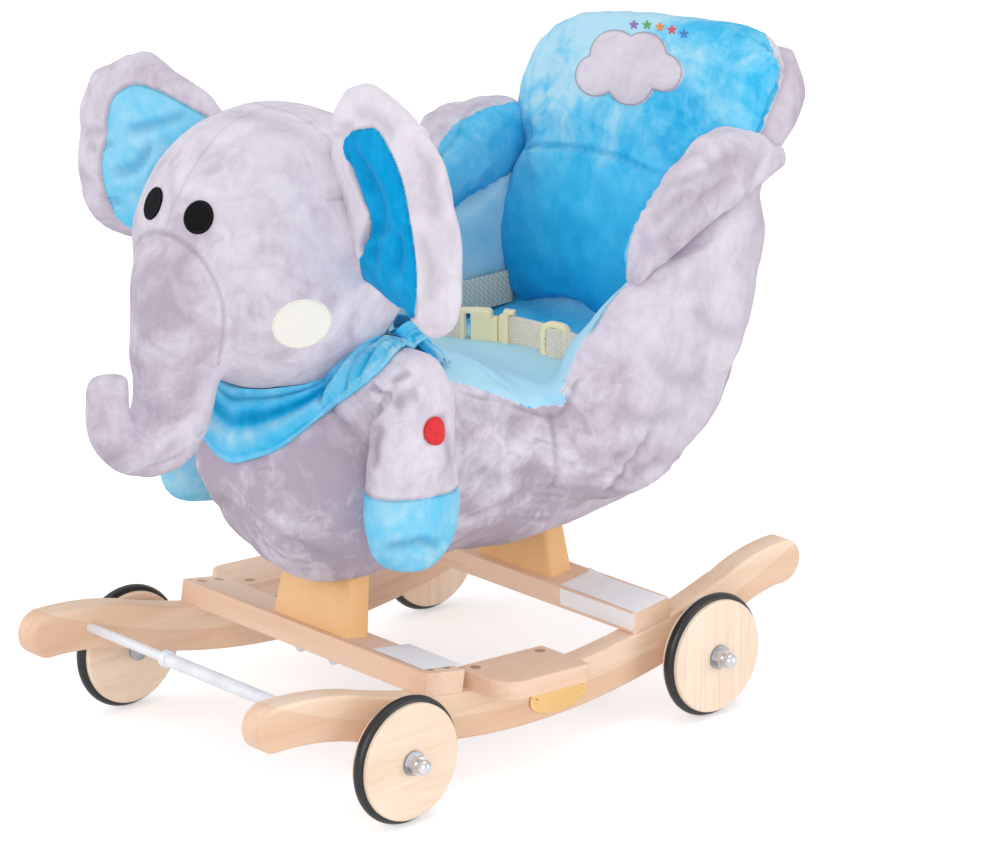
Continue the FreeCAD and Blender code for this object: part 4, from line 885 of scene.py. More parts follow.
# Painted light and shade on the backrest: the headrest is painted paler than the back cushion and deeper towards its
# right, and the back cushion deepens towards its foot.
upper = 1 / (1 + np.exp(-(spots[:, 2] - 378 - 0.09 * spots[:, 0]) / 9))
slant = np.clip((flat[:, 0] - 520 + (flat[:, 1] - 30) * 1.2) / 330, 0, 1)
tell(rest, "nap_and_painted_light", upper * (0.46 - 0.44 * slant) + (1 - upper) * (-0.02 - 0.24 * np.clip((360 - spots[:,
                                                                                                     2]) / 110, 0, 1)))
tell(rest, "brushed", upper * 0.35 - (1 - upper) * 0.4)
lining_edge = [(450, 460), (450, 100), (480, 20), (540, -40), (650, -40), (735, -10), (763, 30), (773, 50),
               (779, 69), (778, 102), (765, 141), (757, 194), (700, 300), (650, 420)]
front = np.clip((-ways[:, 1] + 0.55 * ways[:, 2] + 0.35) * 14, -9, 9)
tell(rest, "lining", np.minimum(inside_shape(seen(spots), lining_edge) / 1.39, front))
line = cast(rest, [(533, 146), (572, 148), (612, 156), (665, 178)])
line = snap(rest, np.vstack([[line[0] + (-16, 2, -3)], line]))
seam(rest, line, 2.8, 2.2, 0.16)
puckers(rest, line, 13, 16, 0.6, 4)
rim = cast(rest, [(735, 36), (771, 50), (781, 69), (779, 102), (766, 141)])
seam(rest, rim, 1.8, 1.6, 0.5)
puckers(rest, rim, 7.5, 14, 1.1, 7)
far_rim = snap(rest, rim * (-1, 1, 1) - np.array((0, 0, 0.18 * 100)))
puckers(rest, far_rim, 6, 12, 0.8, 9)

# Wings
for side, sign in (("left", 1), ("right", -1)):
    spots, ways = points_of(wings[side])
    tell(wings[side], "lining", 105 - sign * spots[:, 0])
    blue = 105 - sign * spots[:, 0] > 0
    tell(wings[side], "nap_and_painted_light", np.where(blue, 0.05, -0.05))
    tell(wings[side], "brushed", np.where(blue, -0.1, 0.4))
NEAR_WING = (([(645, 262), (668, 235), (700, 205), (735, 175)], 7, 2.2),
             ([(650, 225), (672, 205), (700, 190)], 6, 1.6),
             ([(690, 150), (715, 165), (750, 150)], 7, 1.8), ([(660, 195), (690, 178), (720, 170)], 5, 1.5))
for pixels, width, depth in NEAR_WING:
    line = cast(wings["left"], pixels)
    crease(wings["left"], line, width, depth, 0.5, True, 0.4)
    crease(wings["right"], snap(wings["right"], line * (-1, 1, 1)), width, depth, 0.5, True, 0.4)
edge_line = cast(wings["left"], [(640, 279), (638, 250), (642, 220), (650, 195), (662, 172), (680, 152), (705,
                                                                                                          138)])
for side, sign in (("left", 1), ("right", -1)):
    line = edge_line * (sign, 1, 1)
    line[:, 0] = 105 * sign
    line = snap(wings[side], line)
    seam(wings[side], line, 1.6, 1.0, 0.3)
    puckers(wings[side], line, 11, 15, 0.8, 11 + sign)

# Head
spots, ways = points_of(head)
tell(head, "nap_and_painted_light", 0.08 - 0.36 * np.clip((-205 - spots[:, 1]) / 30, 0, 1))
tell(head, "brushed", np.full(len(spots), 0.5))
CENTRE = [(163, 232), (169, 214), (184, 189), (200, 163), (217, 138), (240, 121), (262, 112), (283, 107)]
ARCH = [(143, 236), (161, 233), (179, 239), (193, 250), (205, 265), (216, 285), (223, 310), (222, 340),
        (219, 364)]
line = cast(head, CENTRE)
line[:, 0] *= 0.4
over = np.array([(0, -100, 480), (0, -60, 470), (0, -30, 440)])
seam(head, snap(head, np.vstack([line, over])), 1.2, 0.8, 0.35)
arch = cast(head, ARCH)
for sign in (1, -1):
    seam(head, snap(head, arch * (sign, 1, 1)), 1.5, 1.2, 0.4)
    crown = [(0, -127, 473), (sign * 23, -122, 470), (sign * 41, -118, 462), (sign * 62, -117, 446)]
    seam(head, snap(head, crown), 1.2, 0.8, 0.3)
    tuck = snap(head, [(sign * 79, -142, 426), (sign * 84, -130, 427), (sign * 78, -119, 427)])
    seam(head, tuck, 1.3, 1.2, 0.5)
trunk_side = cast(head, [(219, 364), (218, 385), (213, 408), (202, 433), (180, 455), (150, 467)])
for sign in (1, -1):
    seam(head, snap(head, trunk_side * (sign, 1, 1)), 1.4, 1.0, 0.3)

# Ears: blue inside a grey rim
EAR_LINING = {
    "left": [(346, 138), (352, 131), (363, 129), (375, 129), (389, 151), (401, 182), (408, 216), (414, 252),
             (416, 286), (413, 318), (400, 313), (378, 297), (363, 278), (360, 258), (365, 236), (369, 217),
             (362, 198),
             (351, 170), (343, 150)],
    "right": [(225, 128), (207, 117), (185, 105), (163, 93), (141, 85), (131, 85), (119, 91), (111, 100),
              (107, 118), (105, 140), (101, 162), (104, 188), (113, 212), (125, 225), (136, 231), (160, 240),
              (220, 200)],
}
EAR_FOLDS = {
    "left": (([(352, 150), (366, 175), (378, 200), (381, 222), (372, 238)], 6, 4.0),
             ([(366, 240), (380, 232), (392, 226)], 4, 2.2), ([(398, 232), (401, 255), (396, 275)], 5, 2.0),
             ([(371, 262), (376, 247), (372, 240)], 4, 2.0), ([(331, 122), (345, 127), (357, 124)], 3, 2.2),
             ([(333, 137), (343, 133), (352, 134)], 2.5, 1.8), ([(350, 112), (375, 118), (396, 140)], 6, 1.4),
             ([(418, 230), (430, 270), (428, 310)], 6, 1.6), ([(424, 150), (432, 190), (438, 225)], 5, 1.3)),
    "right": (([(123, 133), (155, 125), (190, 114)], 4, 2.6), ([(110, 176), (138, 166), (155, 138)], 4.5, 3.0),
              ([(106, 141), (110, 149)], 6, 1.6), ([(113, 196), (117, 208)], 7, 1.8),
              ([(84, 135), (97, 132), (108, 134)], 4.5, 1.8), ([(84, 149), (98, 147)], 4.5, 1.2),
              ([(150, 180), (165, 165), (178, 150)], 5, 1.6)),
}
EAR_RIDGES = {
    "left": (([(357, 142), (378, 165), (392, 195), (396, 225)], 6, -2.6),
             ([(380, 285), (385, 262), (384, 248)], 5, -2.0),
             ([(403, 290), (408, 260), (404, 220)], 5, -1.2)),
    "right": (([(128, 145), (150, 145), (168, 128)], 6, -1.6), ([(120, 190), (140, 180), (160, 155)], 6, -1.6)),
}
for side, outline in EAR_LINING.items():
    spots, ways = points_of(ears[side])
    facing = np.clip(ways @ np.array((0, -1, 0)) * 12 + 1.0, -6, 6)
    rounded = smooth_line(np.column_stack([outline + outline[:1], np.zeros(len(outline) + 1)]), 4.0)[:, :2]
    tell(ears[side], "lining", np.minimum(inside_shape(seen(spots), rounded) / 1.39, facing))
    blue = np.minimum(inside_shape(seen(spots), rounded) / 1.39, facing) > 0
    # Painted light and shade on the ears: the near (left) ear's lining is painted deep, as in shade, with its grey rim
    # paler; the far ear's lining is painted pale, as lit, with its rim deeper.
    tell(ears[side], "nap_and_painted_light", np.where(blue, -0.36 if side == "left" else 0.26, 0.25 if side == "left" else -0.1))
    tell(ears[side], "brushed", np.where(blue, -0.2, 0.4))
    line = cast(ears[side], outline[1:13])
    crease(ears[side], line, 1.6, 1.2, 0.8, False, 0.6)
    if side == "left":
        crease(ears[side], cast(ears[side], [(345, 148), (352, 170), (364, 198), (371, 217), (366, 235), (361,
                                                                                                          254),
                                             (368, 270)]), 2.6, 4.5, 0.6, True, 0.8)
    for pixels, width, depth in EAR_FOLDS[side] + EAR_RIDGES[side]:
        crease(ears[side], cast(ears[side], pixels), width, depth, 0.5, True, 0.35)

# Arms: the paw's seam, and pinched folds at the shoulder
for side, sign in (("left", 1), ("right", -1)):
    piece = arms[side]
    spots, ways = points_of(piece)
    hem = 219.5 - (spots[:, 1] + 100) * 0.07
    tell(piece, "lining", hem - spots[:, 2])
    tell(piece, "nap_and_painted_light", np.where(spots[:, 2] < hem, 0.3, 0.1))
    tell(piece, "brushed", np.where(spots[:, 2] < hem, -0.1, 0.5))
    ring = [(sign * (112 + 26 * math.cos(t)), -100 + 30 * math.sin(t), 219.5 - 2.1 * math.sin(t))
            for t in np.linspace(0, 2 * math.pi, 25)]
    line = snap(piece, ring)
    crease(piece, line, 1.6, 1.3, 0.7, False, 0.6)
    puckers(piece, line, 8, 9, 0.6, 21 + sign)
    for pixels, width, depth in (([(368, 384), (378, 391), (385, 397), (383, 408)], 2.6, 4.2),
                                 ([(399, 384), (388, 396), (379, 411), (371, 427)], 3.0, 3.8),
                                 ([(412, 370), (399, 377), (389, 384)], 3.0, 2.6),
                                 ([(377, 398), (382, 404), (377, 414)], 4.5, -2.0),
                                 ([(420, 392), (404, 398), (392, 408)], 5, 1.4),
                                 ([(372, 470), (377, 440), (386, 425)], 5, 1.2),
                                 ([(452, 470), (446, 440), (440, 410)], 5, 1.0),
                                 ([(380, 548), (398, 545), (418, 541), (440, 545)], 4, 1.3)):
        line = cast(arms["left"], pixels) * (sign, 1, 1)
        crease(piece, snap(piece, line), width, depth, 0.5, True, 0.6)


# Patches sewn on the cloth

def patch(name, piece, middle, half_width, half_height, turn, thick, finish, rim, thread=None, where=SEAT):
    """An oval patch that follows the cloth under it, with its edge turned down and a row of stitches."""
    finder = tree(piece, True)
    hit, normal = finder.find_nearest(Vector(np.array(middle) * MM))[:2]
    normal = np.array(normal)
    across = np.cross((0, 0, 1.0), normal)
    across /= np.linalg.norm(across)
    up = np.cross(normal, across)
    across, up = (across * math.cos(turn) + up * math.sin(turn), up * math.cos(turn) - across * math.sin(turn))
    middle = np.array(hit) / MM
    builder = bmesh.new()
    rings, last = 14, None
    centre = builder.verts.new((middle + normal * thick) * MM)
    for ring in range(1, rings + 1):
        share = math.sin(ring / rings * math.pi / 2)
        made = []
        for step in range(64):
            angle = step * math.pi / 32
            jag = 1 + rim * math.sin(step * 97.3) * (ring >= rings - 1)
            flat = middle + (across * half_width * math.cos(angle) + up * half_height * math.sin(angle)) * share * jag
            spot, way = finder.find_nearest(Vector(flat * MM))[:2]
            lift = thick * math.sqrt(max(0.0, 1 - max(0.0, (ring - rings + 3) / 3) ** 2)) - 0.3 * (ring == rings)
            made.append(builder.verts.new(spot + way * (lift * MM)))
        for step in range(64):
            if last:
                builder.faces.new((last[step], made[step], made[(step + 1) % 64], last[(step + 1) % 64]))
            else:
                builder.faces.new((centre, made[step], made[(step + 1) % 64]))
        last = made
    builder.normal_update()
    mesh = bpy.data.meshes.new(name)
    builder.to_mesh(mesh)
    builder.free()
    mesh.polygons.foreach_set("use_smooth", [True] * len(mesh.polygons))
    made = link(name, mesh)
    mesh.materials.append(finish)
    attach(made, where)
    if thread:
        ring = [np.array(finder.find_nearest(Vector((middle + across * (half_width - 1.3) * math.cos(t)
                                                      + up * (half_height - 1.3) * math.sin(t)) * MM))[0]) / MM
                for t in np.linspace(0, 2 * math.pi, 121)]
        sewn = stitches(name + "_stitches", ring, 1.5, 0.5, 0.28, thick + 0.15, piece, 0.5)
        sewn.data.materials.append(thread)
        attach(sewn, where)
    return made


def sewn_shape(name, piece, middle, outline, thick, finish, thread=None, inset=0.94, bow=0.5):
    """A flat shape laid on a piece where the photograph shows it: outline gives its reach, in the photograph's
    points, for each direction round its middle."""
    tree(piece)
    builder = bmesh.new()
    count, rings, last = 120, 9, None
    turns = [step * 2 * math.pi / count for step in range(count)]
    edge = np.array([(outline(t) * math.cos(t), outline(t) * math.sin(t)) for t in turns])
    finder = TREES[piece.name]

    def laid(flat, lift):
        found = []
        for spot in cast(piece, flat):
            hit, way = finder.find_nearest(Vector(spot * MM))[:2]
            found.append(np.array(hit) / MM + np.array(way) * lift)
        return found

    centre = builder.verts.new(Vector(laid([middle], thick)[0] * MM))
    for ring in range(1, rings + 1):
        share = ring / rings
        lift = thick * (1 if ring < rings else 0.0) + bow * (1 - share ** 2)
        made = [builder.verts.new(Vector(spot * MM)) for spot in laid(np.array(middle) + edge * share, lift)]
        for step in range(count):
            after = (step + 1) % count
            if last:
                builder.faces.new((last[step], made[step], made[after], last[after]))
            else:
                builder.faces.new((centre, made[step], made[after]))
        last = made
    bmesh.ops.recalc_face_normals(builder, faces=builder.faces)
    builder.normal_update()
    mesh = bpy.data.meshes.new(name)
    builder.to_mesh(mesh)
    builder.free()
    made = link(name, mesh)
    spots, ways = points_of(made)
    if (ways[0] @ -BACKWARD) > 0:
        mesh.flip_normals()
    mesh.polygons.foreach_set("use_smooth", [True] * len(mesh.polygons))
    mesh.materials.append(finish)
    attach(made, SEAT)
    if thread:
        ring = laid(np.array(middle) + np.vstack([edge, edge[:1]]) * inset, thick)
        sewn = stitches(name + "_stitches", ring, 1.7, 0.2, 0.42, 0.35, made, 0.35)
        sewn.data.materials.append(thread)
        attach(sewn, SEAT)
    return made


black_thread = plain("black_thread", rgb(20, 20, 23), rgb(34, 33, 38), 0.6, scale=200)
cream_thread = plain("cream_thread", rgb(236, 232, 206), rgb(222, 216, 186), 0.8, scale=200)
eyes = [cast(head, [pixel])[0] for pixel in ((198, 217),)]
eye = eyes[0]
for name, sign in (("left_eye", 1), ("right_eye", -1)):
    made = patch(name, head, snap(head, [eye * (sign, 1, 1)])[0], 11.6, 11.6, -0.25 * sign, 1.3, black_felt, 0.006,
                 black_thread)
    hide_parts("eye_patches")
cheek = cast(head, [(302.6, 324.5)])[0]
for name, sign in (("left_cheek", 1), ("right_cheek", -1)):
    made = patch(name, head, snap(head, [cheek * (sign, 1, 1)])[0], 21.0, 20.4, 0.0, 1.0, cream_felt, 0.006,
                 cream_thread)
    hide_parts("cheek_patches")

# The press button: a red disc that sinks into a dimple in the sleeve
press = cast(arms["left"], [(434.5, 431)])[0]
spots, ways = points_of(arms["left"])
far = np.linalg.norm((spots - press)[:, 1:], axis=1)
dip = np.clip((9.3 - far) / 1.2, 0, 1) * (spots[:, 0] > 112)
made = patch("red_button", arms["left"], press, 9.7, 9.7, 0.0, 2.2, red_cloth, 0.012, None, "button_body")
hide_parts("sound_button")
move_to(arms["left"], spots - np.array((1, 0, 0)) * (dip * 2.8)[:, None])
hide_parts("sound_box")
for side, sign in (("left", 1), ("right", -1)):
    tree(arms[side], True)
    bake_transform(arms[side])


# Scarf: a folded square tied behind the neck, with its point on the chest

SCARF = (((228, 384), (238, 465)), ((252, 387), (259, 457)), ((277, 386), (279, 450)), ((300, 382), (299, 435)),
         ((320, 375), (320, 418)), ((338, 367), (343, 401)), ((355, 358), (366, 386)), ((370, 347), (384, 371)),
         ((383, 336), (396, 356)))
NECK_RIM = ((76, -84, 322), (72, -72, 325), (62, -52, 320), (40, -40, 312), (14, -33, 307))
NECK_HEM = ((84, -70, 308), (76, -58, 308), (62, -40, 303), (40, -28, 298), (14, -22, 294))


def outside(spot, finders, clear=2.4):
    """A point moved out of the stuffed pieces that a cloth lies on."""
    for finder in finders:
        hit, normal = finder.find_nearest(Vector(spot * MM))[:2]
        gap = (Vector(spot * MM) - hit).dot(normal) / MM
        if gap < clear:
            spot = spot + np.array(normal) * (clear - gap)
    return spot


def first(pieces, pixels):
    """The points that the camera sees first, of several pieces."""
    found = []
    for pixel, spot in zip(pixels, cast(pieces[0], pixels)):
        for piece in pieces[1:]:
            hit = tree(piece).ray_cast(Vector(EYE * MM), Vector(ray(pixel)))[0]
            if hit and np.linalg.norm(np.array(hit) / MM - EYE) < np.linalg.norm(spot - EYE):
                spot = np.array(hit) / MM
        found.append(spot)
    return np.array(found)


def woven(name, grid, thick, painted_shade=None, nap_and_painted_light=None):
    """A cloth of the given rows of points, with its thickness and soft edges."""
    builder = bmesh.new()
    rows = [[builder.verts.new(Vector(spot * MM)) for spot in row] for row in grid]
    for above, below in zip(rows[:-1], rows[1:]):
        for i in range(len(above) - 1):
            builder.faces.new((above[i], below[i], below[i + 1], above[i + 1]))
    builder.normal_update()
    mesh = bpy.data.meshes.new(name)
    builder.to_mesh(mesh)
    builder.free()
    made = link(name, mesh)
    tell(made, "painted_shade", np.zeros(len(mesh.vertices)) if painted_shade is None else np.ravel(painted_shade))
    tell(made, "nap_and_painted_light", np.zeros(len(mesh.vertices)) if nap_and_painted_light is None else np.ravel(nap_and_painted_light))
    mesh.polygons.foreach_set("use_smooth", [True] * len(mesh.polygons))
    middle = points_of(made)[1].mean(0)
    if middle @ np.array((0.5, -0.7, 0.5)) < 0:
        mesh.flip_normals()
    solid = made.modifiers.new("thick", "SOLIDIFY")
    solid.thickness = thick * MM
    solid.offset = 0
    round_edge = made.modifiers.new("edge", "BEVEL")
    round_edge.width = thick * 0.4 * MM
    round_edge.segments = 2
    round_edge.angle_limit = math.radians(60)
    settled(made)
    made.data.polygons.foreach_set("use_smooth", [True] * len(made.data.polygons))
    return made


def area_of(grid):
    """The area of rows of points, in square metres."""
    grid = np.array(grid) * MM
    a, b = grid[1:, :-1] - grid[:-1, :-1], grid[:-1, 1:] - grid[:-1, :-1]
    c, d = grid[1:, :-1] - grid[1:, 1:], grid[:-1, 1:] - grid[1:, 1:]
    return (np.linalg.norm(np.cross(a, b), axis=2) + np.linalg.norm(np.cross(c, d), axis=2)).sum() / 2


def scarf():
    """The rows from the rolled rim to the hem, round the neck and over the chest and shoulders."""
    finders = [tree(body, True), tree(head, True), tree(arms["left"]), tree(arms["right"])]
    covers = (body, arms["left"])
    rim = first(covers, [p[0] for p in SCARF])
    hem = first(covers, [p[1] for p in SCARF])
    rim[0][0] = hem[0][0] = 0
    rim, hem = np.vstack([rim, NECK_RIM]), np.vstack([hem, NECK_HEM])
    flip = np.array((-1, 1, 1))
    count, rows = 300, 30
    sides = []
    for line in (rim, hem):
        line = smooth_line(np.vstack([(line * flip)[::-1], line[1:]]), 1.0)
        steps = np.concatenate([[0], np.cumsum(np.linalg.norm(np.diff(line, axis=0), axis=1))])
        share = np.linspace(0, steps[-1], count)
        sides.append(np.array([np.interp(share, steps, line[:, i]) for i in range(3)]).T)
    top, low = sides
    base = np.array([top * (1 - row / rows) + low * (row / rows) for row in range(rows + 1)])
    for step in range(3):
        base = np.array([[outside(spot, finders) for spot in line] for line in base])
        for turn in range(8):
            base[1:-1, 1:-1] += 0.25 * (base[:-2, 1:-1] + base[2:, 1:-1] + base[1:-1, :-2] + base[1:-1, 2:]
                                        - 4 * base[1:-1, 1:-1])
            base[[0, -1], 1:-1] += 0.3 * (base[[0, -1], :-2] + base[[0, -1], 2:] - 2 * base[[0, -1], 1:-1])
    grid, shades, nap_and_painted_light_rows = [], [], []
    for row in range(rows + 1):
        v = row / rows
        line, shade, pale = [], [], []
        for i in range(count):
            u = abs(2 * i / (count - 1) - 1)
            height = np.linalg.norm(low[i] - top[i])
            spot = outside(base[row][i], finders)
            hits = [finder.find_nearest(Vector(spot * MM)) for finder in finders]
            normal = np.array(min(hits, key=lambda hit: hit[3])[1])
            depth = v * height
            roll = 4.4 * math.exp(-((depth - 3.4) / 3.6) ** 2) - 1.4 * math.exp(-((depth - 10.5) / 2.6) ** 2)
            sway = min(1.0, max(0.0, (height - 10) / 30))
            phase = depth / (5.0 + 6.0 * (1 - u)) * 2.1 - 2.6 * u + 0.5
            wave = math.sin(phase) + 0.4 * math.sin(2 * phase + 0.8)
            folds = 3.0 * sway * wave + 0.7 * sway * math.sin(depth / 3.1 + 11 * u)
            fade = min(1, (1 - v) * 4) * min(1, depth / 8)
            line.append(spot + normal * (max(roll + folds * fade, -0.8) + 0.6))
            # Painted shadow under the rolled rim and painted shade in the folds' hollows; the nap rows are paler on
            # the folds' crests, as painted light, and paler along the hem.
            shade.append(max(0.0, 0.75 * math.exp(-((depth - 9.5) / 2.2) ** 2) + 0.3 * max(0,
                                                                                           -wave) * sway * fade))
            pale.append(0.08 + 0.24 * wave * sway * fade + 0.2 * (v > 0.93))
        grid.append(line)
        shades.append(shade)
        nap_and_painted_light_rows.append(pale)
    made = woven("scarf_cloth", grid, 2.2, np.clip(shades, 0, 1), nap_and_painted_light_rows)
    tree(made, True)
    return made, np.array(grid[rows - 2]), area_of(grid)


scarf_piece, sewing, cut = scarf()
scarf_piece.data.materials.append(blue_plush)
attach(scarf_piece, SEAT)
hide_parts("scarf")
sewn = stitches("scarf_stitches", sewing, 2.0, 1.2, 0.3, 1.5, scarf_piece)
sewn.data.materials.append(thread_white)
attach(sewn, SEAT)

# The scarf's loose end: a folded strip that comes out under the ear and lies on the seat's front edge, frayed
tail_line = smooth_line(np.vstack([[(70, -66, 312)], cast(body, [(409, 338), (420, 347), (431, 357),
                                                                 (441, 367)])]), 1.5)
finders = [tree(body), tree(arms["left"])]
grid, nap_and_painted_light_rows, painted_shades = [], [], []
for i, spot in enumerate(tail_line):
    share = i / (len(tail_line) - 1)
    way = tail_line[min(i + 1, len(tail_line) - 1)] - tail_line[max(i - 1, 0)]
    way /= np.linalg.norm(way)
    normal = np.array(finders[0].find_nearest(Vector(spot * MM))[1])
    across = np.cross(way, normal)
    across /= np.linalg.norm(across)
    line, pale, deep = [], [], []
    for j in range(25):
        t = j / 12 - 1
        width = 11.0 - 3.5 * share
        fold = 2.4 * math.cos(3 * t + 0.6) * (1 - 0.4 * share) + 1.2 * math.sin(7 * t + 2 * share)
        ragged = 0.0 if share < 0.9 else 1.6 * math.sin(j * 2.4) + 0.8 * math.sin(j * 5.1)
        raw = spot + across * (t * width) + way * ragged
        line.append(outside(raw, finders, 2.2) + normal * (fold + 2.0))
        # The tail's folds: painted light on their crests and painted shade in their hollows; the frayed end is paler.
        pale.append(-0.15 + 0.13 * fold + 0.5 * max(0, share - 0.86) / 0.14)
        deep.append(0.25 * max(0.0, -fold / 3))
    grid.append(line)
    nap_and_painted_light_rows.append(pale)
    painted_shades.append(deep)
tail_piece = woven("scarf_tail_cloth", grid, 1.6, painted_shades, nap_and_painted_light_rows)
tail_piece.data.materials.append(blue_plush)
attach(tail_piece, SEAT)
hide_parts("scarf_tail")
cut = area_of(grid)


# A plain cloud and five small stars on the headrest

BUMPS = ((-31, 8, 21), (-12, -13, 25), (18, -13, 23), (38, 5, 19), (4, 14, 24))


def cloud_reach(turn):
    """The cloud's edge: the furthest of some overlapping rounds, in the photograph's points."""
    way = (math.cos(turn), math.sin(turn))
    found = 0.0
    for x, y, radius in BUMPS:
        along = x * way[0] + y * way[1]
        rest_of = radius ** 2 - (x * x + y * y - along ** 2)
        if rest_of > 0:
            found = max(found, along + math.sqrt(rest_of))
    return found


def star_reach(turn):
    """A rounded star of five points."""
    return 3.4 + 1.5 * math.cos(5 * (turn + math.pi / 2))


tree(rest, True)
edge_thread = plain("edge_thread", rgb(138, 146, 160), rgb(120, 130, 146), 0.8, scale=200)
motif = sewn_shape("headrest_cloud", rest, (627, 68), cloud_reach, 0.9, grey_plush, edge_thread, 0.97, 0.9)
tell(motif, "nap_and_painted_light", np.full(len(motif.data.vertices), -0.05))
tell(motif, "painted_shade", np.zeros(len(motif.data.vertices)))
for number, (pixel, colour) in enumerate((((634, 25), (142, 120, 190)), ((647, 25), (96, 178, 112)),
                                          ((660, 27), (240, 150, 70)), ((672, 30), (226, 84, 96)),
                                          ((684, 34), (84, 132, 206)))):
    floss = plain("star_thread_%d" % number, rgb(*colour), rgb(*(c * 0.86 for c in colour)), 0.7, scale=500,
                  grit=0.5)
    sewn_shape("headrest_star_%d" % number, rest, pixel, star_reach, 0.5, floss, None, 0.9, 0.3)


# Blank paper labels on the boards

def label(name, node, corners, lift=0.12, peel=()):
    """A paper label stuck on a board between four corners in the photograph; peel raises some of them."""
    middle = np.mean(corners, axis=0)
    hit, normal = tree(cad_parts[node]).ray_cast(Vector(EYE * MM), Vector(ray(middle)))[:2]
    hit, normal = np.array(hit) / MM, np.array(normal)
    spots = [EYE + ray(corner) * (((hit - EYE) @ normal) / (ray(corner) @ normal)) for corner in corners]
    grid = []
    for row in range(17):
        v = row / 16
        line = []
        for i in range(33):
            u = i / 32
            spot = (spots[0] * (1 - u) + spots[1] * u) * (1 - v) + (spots[3] * (1 - u) + spots[2] * u) * v
            rise = lift + 0.12 * (1 + math.sin(9 * u + 4 * v)) * math.sin(math.pi * v)
            for corner, height in peel:
                away = math.hypot(u - corner[0], (v - corner[1]) * 0.45)
                rise += height * max(0.0, 1 - away / 0.14) ** 2
            line.append(spot + normal * rise)
        grid.append(line)
    made = woven(name, grid, 0.1)
    made.data.materials.append(paper)
    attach(made, SEAT)
    return made


label("front_label", "front_cross_board", ((371, 649), (409, 644), (462, 665), (424, 670)), 0.25)
label("rear_label", "rear_cross_board", ((560, 585), (590, 571), (667, 598), (636, 613)), 0.25, (((1, 0), 3.0),))
label("rear_label_front", "rear_cross_board", ((560, 588), (635, 615), (633, 631), (561, 604)), 0.25)


# Belt straps straight from the solids, with a line of white stitches across the near one
for node in ("near_strap", "far_strap"):
    piece = link(node + "_cloth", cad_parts[node].data.copy())
    piece.data.materials.clear()
    piece.data.materials.append(web)
    spots, ways = points_of(piece)
    tucked = np.clip((spots[:, 1] - 160) / 12, 0, 1) * (node == "far_strap")
    move_to(piece, spots + np.array((2, 7, -1)) * tucked[:, None])
    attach(piece, SEAT)
    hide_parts(node)
    if node == "near_strap":
        row = cast(piece, [(529, 324), (528, 353)])
        sewn = stitches("strap_stitches", smooth_line(row), 1.9, 0.3, 0.4, 0.3, piece)
        sewn.data.materials.append(thread_white)
        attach(sewn, SEAT)


def moulded(name, node, origin, turn, blocks, rounds=(), voxel=0.55, smooth=4):
    """A moulded piece of blocks and rounds, melted together. A block gives its reach along the belt, through it
    and up; a round gives its middle along and up, its radius and its reach through the belt."""
    frame_of = Matrix.Translation(Vector(origin) * MM) @ Matrix.Rotation(turn, 4, "Z")
    builder = bmesh.new()
    for along, through, up in blocks:
        size = [end[1] - end[0] for end in (along, through, up)]
        middle = [(end[1] + end[0]) / 2 for end in (along, through, up)]
        bmesh.ops.create_cube(builder, size=1.0, matrix=frame_of @ Matrix.Translation(Vector(middle) * MM)
                              @ Matrix.Diagonal((*(s * MM for s in size), 1)))
    for along, up, radius, through in rounds:
        middle = Vector((along, sum(through) / 2, up)) * MM
        bmesh.ops.create_cone(builder, cap_ends=True, segments=40, radius1=radius * MM, radius2=radius * MM,
                              depth=(through[1] - through[0]) * MM,
                              matrix=frame_of @ Matrix.Translation(middle) @ Matrix.Rotation(math.pi / 2, 4, "X"))
    mesh = bpy.data.meshes.new(name)
    builder.to_mesh(mesh)
    builder.free()
    made = link(name, mesh)
    voxels = made.modifiers.new("voxels", "REMESH")
    voxels.mode = "VOXEL"
    voxels.voxel_size = voxel * MM
    voxels.use_smooth_shade = True
    soft = made.modifiers.new("soft", "SMOOTH")
    soft.iterations = smooth
    settled(made)
    made.data.materials.clear()
    made.data.materials.append(cream_plastic)
    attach(made, SEAT)
    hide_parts(node)
    return made


def both(along, through, up):
    """A block above the belt's middle and the same below it."""
    return [(along, through, up), (along, through, (-up[1], -up[0]))]


BUCKLE, BUCKLE_TURN = (-16, 83.5, 266.5), math.radians(36)
SLIDE, SLIDE_TURN = (46, 100.5, 266.5), math.radians(12)
SLIDE_HALF_LENGTH, SLIDE_HALF_WIDTH, SLIDE_BAR = 10.4, 14.2, 2.1
SQUARENESS = 0.55
moulded("buckle_socket_body", "buckle_socket", BUCKLE, BUCKLE_TURN,
        [((-15, -12.2), (-4, 4), (-16, 16)), ((-7, 4.5), (-5.2, 5.2), (-16.2, 16.2)),
         ((4, 12.6), (-4.6, 4.6), (-10.2, 10.2)), *both((-15, -5), (-4, 4), (13.2, 16.2))],
        [(4.5, 12.6, 3.7, (-5.0, 5.0)), (4.5, -12.6, 3.7, (-5.0, 5.0))])
moulded("buckle_plug_body", "buckle_plug", BUCKLE, BUCKLE_TURN,
        [((13.0, 18), (-3.6, 3.6), (-9.5, 9.5)), ((16.6, 20.4), (-4.4, 4.4), (-16.2, 16.2)),
         *both((13.6, 18), (-3.2, 3.2), (8.5, 12.8)), *both((18, 24.6), (-3.6, 3.6), (13.2, 16.2)),
         ((23.2, 25), (-1.0, 3.6), (-16, 16))])
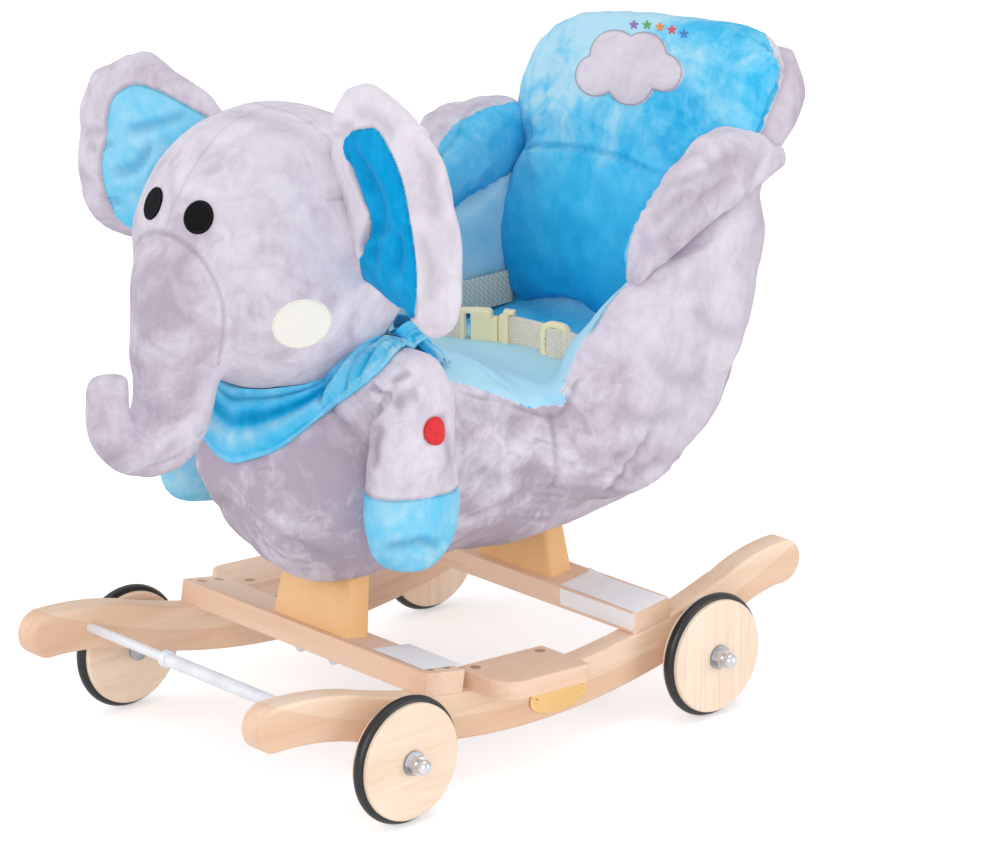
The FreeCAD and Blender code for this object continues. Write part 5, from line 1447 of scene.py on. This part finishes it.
# The slide: a rounded ring whose middle bar the strap goes over
ring_path = []
for step in range(72):
    angle = step * math.pi / 36
    wide, high = math.cos(angle), math.sin(angle)
    ring_path.append((SLIDE_HALF_LENGTH * math.copysign(abs(wide) ** SQUARENESS, wide),
                      SLIDE_HALF_WIDTH * math.copysign(abs(high) ** SQUARENESS, high)))
moulded("strap_slide_ring", "strap_slide", SLIDE, SLIDE_TURN, [((-2, 2), (1.8, 3.4), (-14, 14))],
        [(along, up, SLIDE_BAR, (-4.4, 1.8)) for along, up in ring_path], 0.6, 5)
# The strap's loop over the slide's bar, as high as the webbing and bowed towards the front
loop_grid = [[np.array((SLIDE[0] + u, SLIDE[1] + 0.2 * u - 1.6 - 3.0 * math.cos(u / 8.4 * math.pi / 2),
                        SLIDE[2] + v))
              for v in np.linspace(-12.2, 12.2, 13)] for u in np.linspace(-8, 8, 17)]
loop = woven("strap_loop", loop_grid, 1.4)
loop.data.materials.append(web)
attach(loop, SEAT)


# Floor and light

ground = bmesh.new()
bmesh.ops.create_grid(ground, x_segments=1, y_segments=1, size=6)
floor_mesh = bpy.data.meshes.new("floor")
ground.to_mesh(floor_mesh)
ground.free()
floor = link("floor", floor_mesh)
floor.location = (0, 0, -0.0005)
paint = Paint("floor_white", 0.9)
rays = paint.add("ShaderNodeLightPath")
direct = paint.sum(rays.outputs["Is Camera Ray"], rays.outputs["Is Glossy Ray"], "MAXIMUM")
paint.put(paint.sum(direct, 0.42, "MULTIPLY"), paint.shader.inputs["Emission Strength"])
paint.shader.inputs["Emission Color"].default_value = (1, 1, 1, 1)
paint.shader.inputs["Base Color"].default_value = (0.86, 0.86, 0.88, 1)
floor.data.materials.append(paint.material)

world = bpy.data.worlds.new("studio")
scene.world = world
world.use_nodes = True
sky = world.node_tree
back_light = sky.nodes["Background"]
rays = sky.nodes.new("ShaderNodeLightPath")
either = sky.nodes.new("ShaderNodeMath")
either.operation = "MAXIMUM"
sky.links.new(rays.outputs["Is Camera Ray"], either.inputs[0])
sky.links.new(rays.outputs["Is Glossy Ray"], either.inputs[1])
strength = sky.nodes.new("ShaderNodeMapRange")
sky.links.new(either.outputs[0], strength.inputs["Value"])
strength.inputs["To Min"].default_value = 0.62
strength.inputs["To Max"].default_value = 1.0
back_light.inputs["Color"].default_value = (1, 1, 1, 1)
sky.links.new(strength.outputs["Result"], back_light.inputs["Strength"])


def lamp(name, spot, target, size, power):
    """A soft square lamp that looks at a point, in metres."""
    data = bpy.data.lights.new(name, "AREA")
    data.size = size
    data.energy = power
    made = bpy.data.objects.new(name, data)
    scene.collection.objects.link(made)
    made.location = spot
    made.rotation_euler = (Vector(target) - Vector(spot)).to_track_quat("-Z", "Y").to_euler()


lamp("key", (1.9, -2.1, 1.2), (0, 0, 0.25), 1.6, 28)
lamp("fill", (-1.9, -1.4, 0.9), (0, 0, 0.25), 1.6, 16)
lamp("top", (0.2, 0.2, 2.2), (0, 0, 0.25), 1.6, 8)
lamp("side", (2.2, 1.2, 0.7), (0, 0, 0.25), 1.4, 14)
